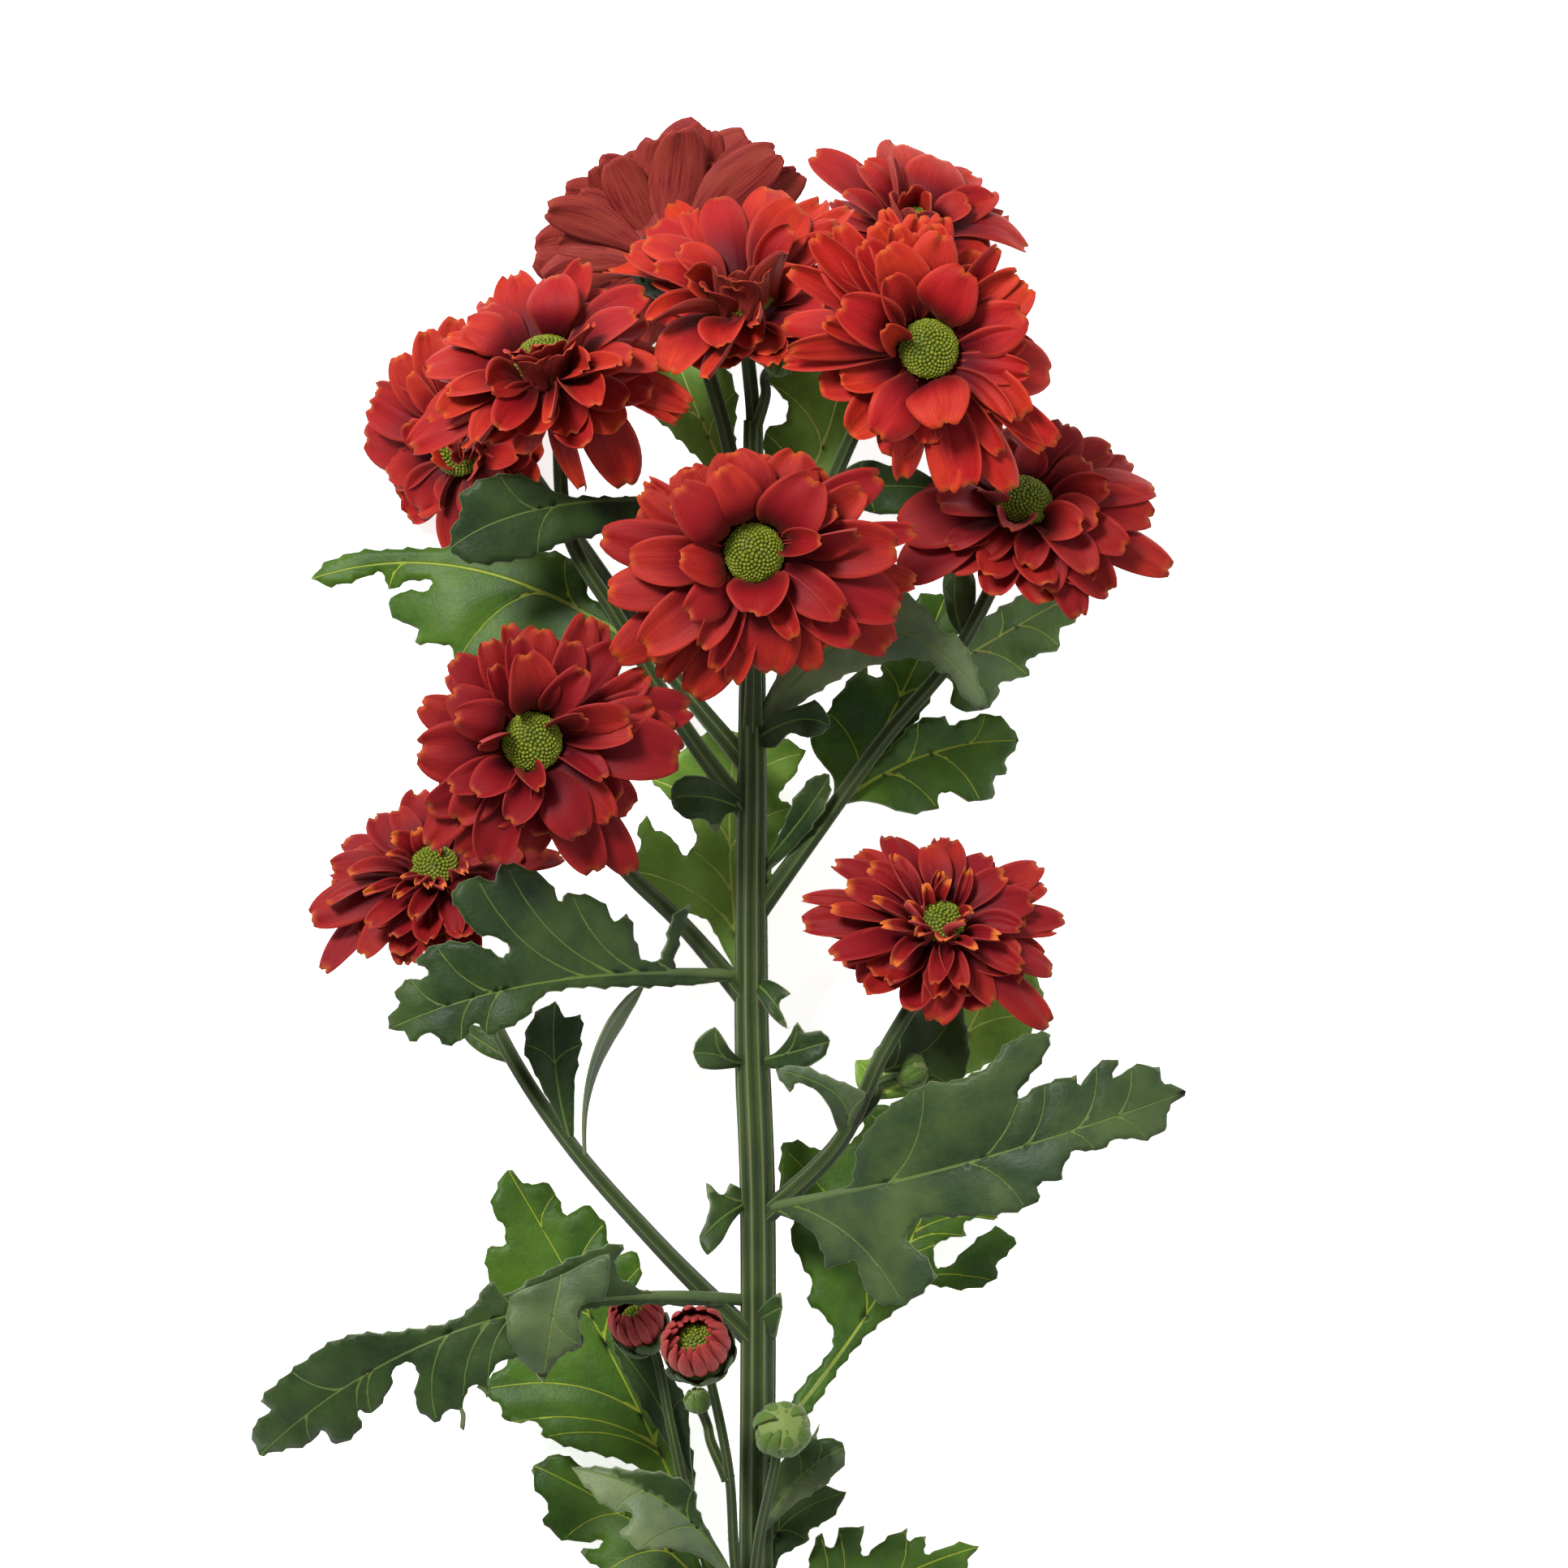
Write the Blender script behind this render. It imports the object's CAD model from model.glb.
# The looks of a cut spray of a red santini chrysanthemum, laid down on a pale surface: its ribbed stem,
# layered red blooms with green discs, half-open and closed buds, and lobed leaves with their veins.

import math

import bpy
import numpy as np
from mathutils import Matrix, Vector
from mathutils.bvhtree import BVHTree
from mathutils.geometry import delaunay_2d_cdt


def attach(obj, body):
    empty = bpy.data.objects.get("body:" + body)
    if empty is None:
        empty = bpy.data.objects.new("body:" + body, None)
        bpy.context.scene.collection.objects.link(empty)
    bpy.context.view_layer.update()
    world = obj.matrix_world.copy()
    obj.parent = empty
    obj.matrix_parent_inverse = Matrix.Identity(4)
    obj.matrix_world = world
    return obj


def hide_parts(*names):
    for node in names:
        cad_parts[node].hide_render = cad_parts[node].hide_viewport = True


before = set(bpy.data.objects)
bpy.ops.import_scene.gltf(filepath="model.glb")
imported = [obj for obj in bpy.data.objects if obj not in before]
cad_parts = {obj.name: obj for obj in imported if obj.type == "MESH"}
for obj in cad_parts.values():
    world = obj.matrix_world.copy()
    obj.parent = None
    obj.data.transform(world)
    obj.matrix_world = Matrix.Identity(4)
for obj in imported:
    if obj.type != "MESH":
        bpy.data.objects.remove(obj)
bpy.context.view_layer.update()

scene = bpy.context.scene

# Lengths and places are millimetres in the part's frame: +Y along the stem to the flowers, +Z up.
MM = 0.001
STALK_RADIUS = 1.25
BUD_STALK_RADIUS = 0.85
BLOOM_RADIUS = 22.0  # centre of the disc to the tips of the outer petals
DISC_RADIUS = 5.0
YOUNG_SCALE = 0.84  # disc and cup of a bloom that is still opening
CUP_DEPTH = 8.5  # disc to the foot of the green cup
SEED = 8

# The open blooms: the middle of the disc, the way it looks, how far the petals reach in plan to the
# right, up, left and down, and the points of the stalk.
BLOOMS = [
  {"name": "top_back_left", "at": [-14, 378.5, 22], "face": [-0.15, 0.35, -0.92], "reach": [21, 21.5, 21, 18],
    "stalk": [[0, 322, 29.5], [-2.6, 343, 31.5], [-6, 357, 34]]},
  {"name": "top_centre", "at": [-1, 370.5, 46], "face": [-0.05, 0.75, 0.65], "reach": [17.5, 19.5, 18, 12.5],
    "stalk": [[0.2, 340, 31], [0.4, 352, 33]]},
  {"name": "top_back_right", "at": [26.5, 383.5, 16], "face": [0.15, 0.75, 0.62], "reach": [18, 14.5, 17, 12],
    "stalk": [[0.3, 320, 29.5], [4, 338, 24], [13, 358, 14]]},
  {"name": "front_right", "at": [28, 362, 61], "face": [0.1, 0.1, 0.98], "reach": [21, 21.5, 22, 21.5],
    "stalk": [[0.3, 316, 29], [7, 330, 33], [13, 342, 38], [18.5, 353, 43]]},
  {"name": "upper_left", "at": [-32.4, 360.3, 55], "face": [-0.15, 0.6, 0.78], "reach": [22, 17, 20, 17],
    "stalk": [[0, 288, 27], [-10.3, 302, 30], [-21.4, 320.4, 36], [-29.2, 334, 41]]},
  {"name": "far_left", "at": [-47.5, 348.5, 11.3], "face": [-0.55, -0.1, 0.82], "reach": [16, 20, 15, 20],
    "stalk": [[0, 296, 27.5], [-14, 313, 24], [-28, 333, 14]]},
  {"name": "centre", "at": [0.6, 330, 62], "face": [0.03, -0.1, 0.99], "reach": [25, 18.5, 24, 21.5],
    "stalk": [[0.3, 302, 28.5], [0.5, 314, 38]]},
  {"name": "right", "at": [43.4, 338.6, 38], "face": [0.15, 0.55, 0.8], "reach": [24.5, 15, 18.5, 19],
    "stalk": [[0.3, 272, 25], [11, 286.6, 29], [21.5, 301, 30], [33.5, 315.5, 30]]},
  {"name": "middle_left", "at": [-34.4, 300.3, 58], "face": [0.1, -0.04, 0.99], "reach": [25, 19.5, 19, 21],
    "stalk": [[0, 258, 24], [-11, 271, 30], [-21, 281, 37]]},
  {"name": "lower_left", "at": [-51, 280, 26], "face": [-0.15, 0.6, 0.78], "reach": [22, 13, 20, 17.5],
    "young": True, "stalk": [[0, 204, 20], [-15, 219.5, 27], [-29.3, 235.9, 28], [-40, 252, 23]]},
  {"name": "lower_right", "at": [30.2, 271.3, 42], "face": [0.1, 0.6, 0.78], "reach": [21, 14, 22, 16.5],
    "young": True, "stalk": [[0.3, 222, 21.5], [14.3, 236, 28], [21, 250, 33]]},
]

# The half-open blooms, with the radius of each head.
HALF_OPEN = [
  {"name": "half_open_front", "at": [-8.5, 204.7, 50], "face": [-0.15, 0.4, 0.9], "radius": 6.4,
    "stalk": [[0, 146, 15], [-2.6, 168, 23], [-3.6, 184, 33]]},
  {"name": "half_open_back", "at": [-18.2, 206.7, 25], "face": [-0.3, 0.6, 0.7], "radius": 5.2,
    "stalk": [[0, 158, 16], [-9, 174, 19], [-13, 190, 22]]},
]

# The closed buds.
GREEN_BUDS = [
  {"at": [5.2, 191, 42], "face": [0.1, 0.4, 0.9], "radius": 4.7,
    "stalk": [[0, 158, 16], [1.4, 172, 25], [3.8, 184, 34]]},
  {"at": [26.5, 247.5, 27], "face": [0.8, 0.3, 0.2], "radius": 3.2,
    "stalk": [[15, 237.5, 28], [20, 243, 27]]},
  {"at": [-8.6, 195, 34], "face": [-0.3, 0.8, 0.5], "radius": 2.1,
    "stalk": [[-3.6, 182, 31.5], [-6.4, 188, 32]]},
  {"at": [4.6, 361, 42], "face": [0.4, 0.4, 0.8], "radius": 2.4,
    "stalk": [[0.4, 350, 32.5], [2.4, 356, 37]]},
]

# The leaves: how steeply the right and the left half rise, the rib from base to tip, and the corners
# of the outline on either side of it, in plan.
LEAVES = [
  {"name": "shade_left", "rise": [0.12, -0.15], "rib": [[-0.5, 338.5, 32], [-30, 338, 46], [-47.6, 331, 49]],
    "right": [[-14, 339.2], [-25, 339.4], [-30, 339.6], [-34, 341.8], [-40, 342.7], [-44, 341],
      [-46.4, 339], [-45.6, 337.2], [-47.2, 334.5]],
    "left": [[-14, 336], [-20, 334.8], [-25.5, 333], [-31, 331.5], [-34, 330], [-39, 329], [-43, 328.5],
      [-46, 329.3]]},
  {"name": "upper_left", "rise": [-0.25, 0.05], "rib": [[-20, 317, 33], [-46, 328.4, 27], [-70.8, 326.8, 23]],
    "right": [[-23, 321], [-24, 322.6], [-26, 323.6], [-26.2, 326], [-27.5, 329], [-30, 330.4], [-40, 330.8],
      [-47, 331.6], [-57, 331.5], [-64, 331], [-69.5, 328.6]],
    "left": [[-27, 314], [-38, 312.6], [-47.5, 313.5], [-48, 315.3], [-54, 316.5], [-53.6, 318.5],
      [-57, 320], [-58.6, 322.8], [-56.5, 324.5], [-52, 325], [-51.2, 325.9], [-53.5, 326.6],
      [-58.5, 325], [-59, 327.2], [-64.5, 326.2], [-68.5, 325.6]]},
  {"name": "top_left", "rise": [0.05, 0.05], "rib": [[-0.5, 337, 30], [-7, 350, 26.5], [-13, 365, 25]],
    "right": [[-1.8, 342], [-2.6, 350], [-2.4, 357], [-6, 363]],
    "left": [[-4.5, 342], [-8.5, 346], [-13, 350.5], [-17.5, 355], [-18.5, 359], [-16, 364]]},
  {"name": "top_right", "rise": [0.05, 0.05], "rib": [[0.8, 332, 29.5], [11.5, 348, 26.5], [15.5, 368, 26]],
    "right": [[7.5, 338], [14.5, 344.5], [17.5, 350], [19.5, 358], [18.5, 365]],
    "left": [[2.6, 338.5], [2.3, 350.5], [5.6, 352.2], [6, 354.6], [2.4, 359], [4.5, 362], [8, 367],
      [12, 370]]},
  {"name": "top_dark", "rise": [0.1, 0.1], "rib": [[12.5, 341, 36.5], [21, 341.5, 33], [31, 341, 32]],
    "right": [[15, 339], [20, 337], [26, 337.5]],
    "left": [[14.5, 343.5], [18, 345.5], [23, 344.5], [28, 343.5]]},
  {"name": "centre_folded", "rise": [-0.5, -0.1], "rib": [[0.5, 302, 29], [20, 318, 43], [37.8, 306, 43]],
    "right": [[5, 304.6], [10, 308], [15, 311], [20, 312.8], [26.5, 313.6], [29, 313], [30.3, 311.1],
      [31.8, 311.4], [33, 308.8], [36, 305.8]],
    "left": [[3.2, 309], [8, 316], [15, 321], [20.5, 326], [26.3, 322.8], [29.2, 320], [30, 318.4],
      [33, 317], [35.2, 313.6], [36.6, 309.5]]},
  {"name": "right_upper", "rise": [0.1, 0.1], "rib": [[30.5, 311.5, 30], [42, 318.6, 16], [53.6, 325, 2.5]],
    "right": [[32.5, 310], [32, 306.6], [33, 305.8], [37.5, 305.7], [39.8, 308], [39.9, 309.3], [45, 311.2],
      [44.5, 312.8], [50.3, 316], [49.9, 318.2], [52.6, 320.2]],
    "left": [[32.6, 315], [36.5, 319.5], [40.5, 322.2], [46, 325.3], [51, 326.4]]},
  {"name": "right_dark", "rise": [0, 0], "rib": [[34.3, 317, 30.5], [32.8, 323.5, 27], [33.5, 330, 25]],
    "right": [[35.4, 319.5], [36.2, 323.5], [35.6, 328]],
    "left": [[32.6, 318.8], [31.2, 323], [31.4, 328]]},
  {"name": "right_side", "rise": [0.12, 0.12], "rib": [[14.5, 290.5, 29], [28, 298.2, 22], [43.4, 300.7, 15]],
    "right": [[18, 290.9], [20.5, 290.5], [24.9, 289], [30.2, 289.8], [30.3, 291.8], [37.2, 290.8],
      [39.6, 292], [39, 294.5], [41.2, 295.2], [41.2, 297]],
    "left": [[17.5, 294.5], [23, 300], [27, 303.8], [31.2, 304.5], [32, 303.2], [34, 303.6], [38, 305],
      [41, 304]]},
  {"name": "right_inner", "rise": [0.05, 0.05], "rib": [[13.5, 290, 28], [22.5, 304.5, 19], [31.5, 324, 14]],
    "right": [[19, 295.6], [26, 303], [30, 309], [33, 316], [34.5, 322]],
    "left": [[13.2, 294.8], [11.2, 297.3], [9.6, 300.3], [12.5, 305.5], [15, 309.3], [18.7, 313],
      [19.4, 310.8], [21, 311], [21.2, 313.2], [23, 317], [27.5, 324.5]]},
  {"name": "middle_left", "rise": [0.04, 0.12],
    "rib": [[-0.5, 262.6, 24.5], [-31, 262.4, 46.5], [-57.5, 254.7, 46]],
    "right": [[-6, 263.6], [-12.2, 263.9], [-11.6, 268], [-9.9, 274.2], [-12.3, 272.5], [-13.6, 268],
      [-15, 265.4], [-17, 265.2], [-18.2, 268], [-19.8, 273], [-21, 271.8], [-24, 275], [-29, 276.3],
      [-30, 275], [-32, 278], [-35, 280], [-39.5, 281], [-40.5, 278.5], [-44, 278.8], [-47.4, 276.5],
      [-45.5, 272.5], [-44, 270.5], [-38.7, 268.2], [-38.2, 266.8], [-39.2, 266.2], [-42, 267.7],
      [-50, 268], [-53, 265.8], [-51, 263.3], [-54, 262.6], [-56.5, 260.6], [-55.8, 259], [-57.3, 256.5]],
    "left": [[-6, 261.7], [-24, 261.2], [-30, 261], [-33, 260], [-36, 256.3], [-39, 254.8], [-42, 253.5],
      [-43, 255.6], [-46, 252.8], [-49, 252.3], [-50, 254], [-54, 252.8], [-55, 254.2]]},
  {"name": "middle_back", "rise": [0, 0.05], "rib": [[-0.5, 260, 21.5], [-3.4, 280, 15], [-2.6, 302, 12]],
    "right": [[1, 268], [3, 276], [4, 284], [6.5, 290], [4.5, 291.5], [7, 295], [8.6, 299], [3, 302]],
    "left": [[-4, 266], [-8, 272], [-12, 273], [-16, 276], [-19.3, 280], [-18, 283], [-18.3, 287],
      [-17, 288.3], [-15.5, 286], [-13, 285], [-10.5, 282], [-9.2, 283.5], [-9.5, 287], [-12, 290],
      [-16.5, 295], [-12, 298.5], [-7, 302]]},
  {"name": "stalk_curl", "rise": [0.3, 0.1], "rib": [[15, 236.3, 28.5], [14, 243.6, 34], [4, 247.9, 36]],
    "right": [[16.6, 239.5], [18.5, 244], [15, 245.7], [12, 246.9], [8.5, 248.4]],
    "left": [[13.6, 239], [12.5, 242], [10, 244.8], [7, 245.5], [6.3, 244.3]]},
  {"name": "right_large", "rise": [-0.02, 0.04],
    "rib": [[0.5, 224.7, 21.5], [35, 233.5, 43], [69.6, 244.6, 39]],
    "right": [[5, 224], [10, 221.5], [11.5, 219], [12.3, 215.8], [17, 217], [18, 213.5], [20.5, 210.6],
      [25, 210.6], [28, 213], [29.7, 215], [28, 217.8], [25, 221.5], [26, 223.3], [35, 224.8],
      [44, 226.3], [46.3, 228], [45.5, 229.5], [49.5, 230.8], [50, 233.5], [51, 235], [55, 235.2],
      [58, 237], [63.2, 237], [66.5, 239], [66.3, 241]],
    "left": [[8, 227.2], [15.5, 229], [17.5, 236], [24, 243.5], [28, 245.8], [33, 246.6], [38, 249],
      [41, 252.4], [44, 253.8], [47.8, 253.8], [46.5, 250], [43, 245.3], [42.3, 244], [47, 246],
      [51.7, 247], [52, 246], [55.3, 249], [58.7, 249.8], [57.8, 246.8], [60.8, 248.7], [65, 248.3],
      [65.5, 246.5]]},
  {"name": "right_back", "rise": [0, 0], "rib": [[0.5, 184, 17.5], [20.5, 210, 10.5], [34, 237, 6]],
    "right": [[9.8, 192], [15, 199.4], [20, 205], [24.5, 208.5], [28.5, 211.8], [35, 211.2], [40, 213],
      [40, 215], [43.2, 218.6], [42, 220.2], [39.8, 221.2], [37, 219.4], [30, 215.2], [29.6, 217],
      [31, 219.2], [35, 220], [34.7, 221.8], [40.4, 222.8], [39.6, 224.4], [43, 229], [39, 235]],
    "left": [[7.6, 195], [13.3, 204.6], [12.6, 206.2], [8.9, 210], [9.9, 211.5], [8, 216], [6.4, 220],
      [7, 222], [5.2, 226], [5.2, 235], [7.5, 235.3], [11, 233.8], [18, 237], [19, 240.5], [22, 241.3],
      [25, 240], [29, 241]]},
  {"name": "right_hidden", "rise": [0, 0], "rib": [[18.5, 243, 27], [34, 252, 17], [38.5, 267, 12]],
    "right": [[28, 243.8], [37, 247.5], [44, 252], [47, 256], [46, 263], [42, 267]],
    "left": [[17.4, 244.4], [16.9, 249.1], [19, 249.3], [20.5, 251.3], [26, 253], [30, 260], [33, 266]]},
  {"name": "stalk_dark", "rise": [0.1, 0.1], "rib": [[20.8, 247.5, 31], [29, 251.5, 26], [33.5, 259, 24]],
    "right": [[25, 247], [30, 245.4], [33, 244.6], [34.8, 248], [34.6, 255]],
    "left": [[21.4, 251], [23.5, 255.4], [28, 258]]},
  {"name": "stalk_leaf", "rise": [0.1, 0.1],
    "rib": [[-28.8, 235.4, 28.2], [-31.2, 247, 33], [-31.4, 258.6, 35]],
    "right": [[-28.4, 240], [-28.2, 246], [-27.2, 252], [-27.2, 256.8], [-29, 256]],
    "left": [[-31.5, 241], [-34.5, 247], [-36.3, 252], [-35.3, 255.5], [-33, 258]]},
  {"name": "lower_left_back", "rise": [0.02, 0.02],
    "rib": [[-0.5, 150, 14.5], [-17.5, 190, 10.5], [-39.8, 230.8, 9]],
    "right": [[-5.5, 165], [-9, 177], [-9.5, 184], [-12.5, 192], [-19, 201], [-22.5, 208], [-18.3, 212.5],
      [-18, 215.5], [-19.5, 217.7], [-22.3, 216.5], [-24, 222.3], [-27.2, 225], [-30, 223.4],
      [-32, 227], [-34, 228.9], [-35.7, 228.2]],
    "left": [[-7.5, 165], [-14, 179.5], [-21, 183.5], [-29.5, 185.7], [-34.2, 187.7], [-34, 188.6],
      [-40.3, 190], [-40.5, 191.4], [-44.6, 195.3], [-40, 199], [-38, 203], [-41.5, 209], [-43.2, 218],
      [-40, 218.8], [-40, 220.5], [-42.3, 224.7], [-41.2, 228.5]]},
  {"name": "bud_shade", "rise": [0, 0], "rib": [[-9.5, 180, 19], [-15, 193, 16.5], [-22.6, 203.4, 16]],
    "right": [[-9.8, 184], [-11, 194.5], [-18, 202]],
    "left": [[-12, 184], [-17.5, 192.5], [-21, 199]]},
  {"name": "lower_left_front", "rise": [0.2, -0.2],
    "rib": [[-0.5, 210, 20.5], [-43, 208, 46], [-78.8, 186, 33]],
    "right": [[-10, 211.6], [-18, 212.9], [-21.8, 216.5], [-20.3, 220.2], [-26, 219], [-34, 215.3],
      [-39.8, 212.8], [-41.3, 214.6], [-45, 209.8], [-56, 206.7], [-64, 206], [-73.3, 200],
      [-78.4, 195], [-77, 194.3], [-79.8, 190.5]],
    "left": [[-10, 209.7], [-22, 210.2], [-27, 209.2], [-27, 203.5], [-30, 203], [-33, 198.5], [-37, 202.5],
      [-41, 200.5], [-42, 195.8], [-43.5, 198.2], [-44.8, 197.5], [-45.6, 190.6], [-47, 194.3],
      [-50.3, 192], [-53, 194.3], [-53.8, 201.5], [-55.7, 201.5], [-57.7, 196.7], [-60.5, 193.2],
      [-62.2, 194], [-62, 191], [-66.3, 188], [-68.5, 190.4], [-70.3, 188.3], [-75, 187]]},
  {"name": "bottom_left", "rise": [0.05, 0.05], "rib": [[-0.5, 154, 14], [-16, 170.5, 6.5], [-35.6, 182, 3]],
    "right": [[-8, 166], [-14, 175], [-21, 180], [-27.5, 182], [-31.5, 184]],
    "left": [[-8, 160], [-16, 161.5], [-24, 165], [-28, 168], [-24.3, 169.3], [-31, 170], [-34.2, 173.3],
      [-33, 175.2], [-35.3, 178]]},
  {"name": "bottom_left_front", "rise": [0.3, 0.3],
    "rib": [[-3, 165, 22.5], [-13, 177.5, 29], [-28.5, 183.4, 28]],
    "right": [[-6.4, 172.5], [-8.6, 177], [-9.5, 180.5], [-13, 182.6], [-20, 183.4]],
    "left": [[-8, 169], [-13, 170.7], [-18, 171], [-21, 173.5], [-18.8, 176], [-22, 176.8], [-25.5, 179.5]]},
  {"name": "bottom_right_upper", "rise": [0.1, 0.1], "rib": [[0.5, 171, 19], [7, 181, 28], [14.9, 187, 29]],
    "right": [[4, 174.6], [8, 178.4], [11, 180.2], [13.6, 182.7], [15.2, 185]],
    "left": [[1.4, 176], [3.4, 182.4], [7.3, 187.2], [9.8, 188.7], [10.9, 190.6], [10.8, 188.3],
      [13.3, 188.5]]},
  {"name": "bottom_right", "rise": [0.1, 0.1], "rib": [[0.4, 159, 15.5], [4, 172, 17.5], [15.2, 178.8, 19]],
    "right": [[3, 163], [5, 168.6], [9.2, 171.3], [9.6, 172.8], [12.2, 174.2], [14.6, 177]],
    "left": [[0.8, 167], [1.4, 175], [3.4, 178.6], [8, 179.8], [12.5, 179.8]]},
  {"name": "bottom_right_low", "rise": [0.05, 0.05], "rib": [[0.5, 145, 14], [16, 160, 12], [37.2, 169, 5]],
    "right": [[6, 148], [14, 151], [22, 153], [30, 158], [36, 163], [35, 166]],
    "left": [[4, 151.5], [8, 158], [9, 165], [10.3, 170], [11.5, 171.7], [12.8, 169.2], [14.5, 172.3],
      [18.2, 172.7], [18.2, 168], [21, 170], [25.3, 172], [25.3, 170.5], [28.6, 170.9], [28, 168.7],
      [34, 169.6]]},
  {"name": "lowest_left", "rise": [0.05, 0.05], "rib": [[-0.5, 127, 12.5], [-16, 139, 8], [-36, 148, 2]],
    "right": [[-5, 134], [-9, 143], [-14, 148.5], [-16, 144.5], [-20, 147], [-27, 153], [-27.5, 149.5],
      [-31, 151.5], [-35, 151]],
    "left": [[-7, 129.5], [-14, 130], [-20, 132.5], [-18.5, 136], [-24, 136.5], [-31, 140], [-29.5, 142.5],
      [-35, 145]]},
]

# The smallest leaves, which are one with the stem in the part.
LEAFLETS = [
  {"rise": [0.3, 0.3], "rib": [[0, 289, 26], [-7, 291.5, 33], [-12.8, 291.3, 34]],
    "right": [[-4, 293], [-9, 295], [-12, 294.2]],
    "left": [[-4, 288.8], [-5.8, 285.6], [-7, 287.6], [-11, 288.4]]},
  {"rise": [0.3, 0.3], "rib": [[0, 278, 25], [8, 288, 31], [12.6, 295, 33]],
    "right": [[5, 281.5], [9.6, 286.5], [12.6, 292]],
    "left": [[3.4, 283], [5.4, 287.4], [6.9, 291], [10.4, 295]]},
  {"rise": [0.2, 0.2], "rib": [[0, 300, 28], [7, 303.8, 35], [12.8, 302.8, 36]],
    "right": [[4, 299.5], [6.5, 301.8], [9, 301]],
    "left": [[4, 304.8], [8, 306.2], [10.2, 307], [12.2, 305]]},
  {"rise": [0.2, 0.2], "rib": [[0, 248.6, 24], [-4.5, 250, 29], [-5.7, 254.5, 31]],
    "right": [[-2.8, 250.3], [-4.2, 252.4]],
    "left": [[-4, 247.8], [-8, 248], [-9.3, 250.5], [-8, 253.2]]},
  {"rise": [0.2, 0.2], "rib": [[0, 248.6, 24], [7, 250.6, 29], [12.7, 252.3, 31]],
    "right": [[4.5, 247.7], [9.5, 248.4], [12, 250.3]],
    "left": [[4.2, 250.6], [6, 252.8], [7.5, 255.3], [8.7, 253.7], [11.3, 254]]},
  {"rise": [0.1, 0.1], "rib": [[0, 262, 25], [3.4, 259, 30], [5.9, 254.3, 31]],
    "right": [[1.4, 259], [3.8, 255.8]],
    "left": [[3, 262], [6.4, 259.9], [4.8, 258.9]]},
  {"rise": [0.1, 0.1], "rib": [[0, 226.5, 22], [-5, 223.5, 27], [-8.3, 220, 29]],
    "right": [[-3.3, 229.2], [-4.4, 227.4], [-7.2, 229.4], [-6.6, 225.6]],
    "left": [[-3, 223], [-5, 219.6], [-7, 217.9]]},
  {"rise": [0.1, 0.1], "rib": [[0, 206, 20], [2.6, 208, 24], [5, 209.3, 26]],
    "right": [[2.6, 205.4], [3.8, 203.7], [4.4, 206.4]],
    "left": [[2.4, 210], [4.8, 211.7]]},
  {"rise": [0.1, 0.1], "rib": [[-38, 248.6, 24.6], [-43, 251.6, 21], [-47.6, 254.6, 19]],
    "right": [[-40, 251.6], [-44, 254.4]],
    "left": [[-41, 249], [-46.2, 252.2]]},
]

EDGE_ON = [
  {"name": "stalk_blade", "base": [-26.6, 232.6, 28.4], "mid": [-25.2, 248.5, 33], "tip": [-17.2, 261.4, 34],
    "face": [1, 0.15, 0.35], "width": 6.5, "cup": 6},
]

MAIN_STEM = {
  "points": [
    [0, -3, 2.45], [0, 6, 2.6], [0.4, 110, 11.5], [1.1, 224, 21.8], [0.1, 256, 24.6], [0.2, 300, 28.5],
    [0.4, 352, 33],
  ],
  "radii": [2.9, 2.9, 2.95, 2.95, 2.5, 1.6],
  "grooves": 0.13,
  "endCut": -0.8,
}


# Camera, lights and floor

VIEW_WIDTH = 251.16  # what the frame's width shows, at the height VIEW_LEVEL
VIEW_LEVEL = 35.0
CAMERA_AT = (5.33, 293.62, 1485.0)
SENSOR = 36.0
CLIP_NEAR, CLIP_FAR = 0.05, 50.0  # metres

# Each light's name, place and size in metres, and power in watts.
LIGHTS = (
    ("key", (-0.65, 1.1, 1.35), 0.42, 54.0),
    ("fill", (0.95, 0.1, 1.2), 1.1, 7.0),
)
SKY_STRENGTH = 0.5
FLOOR_SIZE = 6.0  # metres
FLOOR_MIDDLE = (0.0, 0.2, -0.0002)
FLOOR_GLOW = 0.68  # keeps the shadows on the floor pale


def linear(red, green, blue):
    """A screen colour, 0 to 255 a channel, as the linear colour that a shader takes."""
    channels = (value / 255 for value in (red, green, blue))
    return [c / 12.92 if c <= 0.04045 else ((c + 0.055) / 1.055) ** 2.4 for c in channels] + [1.0]


def make_camera():
    data = bpy.data.cameras.new("camera")
    data.sensor_width = SENSOR
    data.lens = SENSOR * (CAMERA_AT[2] - VIEW_LEVEL) / VIEW_WIDTH
    data.clip_start, data.clip_end = CLIP_NEAR, CLIP_FAR
    camera = bpy.data.objects.new("camera", data)
    camera.location = [value * MM for value in CAMERA_AT]
    scene.collection.objects.link(camera)
    scene.camera = camera


def make_light(name, place, size, power):
    """A square soft light that looks at the middle of the blooms."""
    data = bpy.data.lights.new(name, "AREA")
    data.size, data.energy = size, power
    light = bpy.data.objects.new(name, data)
    aim = np.array(CAMERA_AT[:2] + (VIEW_LEVEL,)) * MM
    light.location = place
    light.rotation_euler = (Vector(place) - Vector(aim)).to_track_quat("Z", "Y").to_euler()
    scene.collection.objects.link(light)


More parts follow.
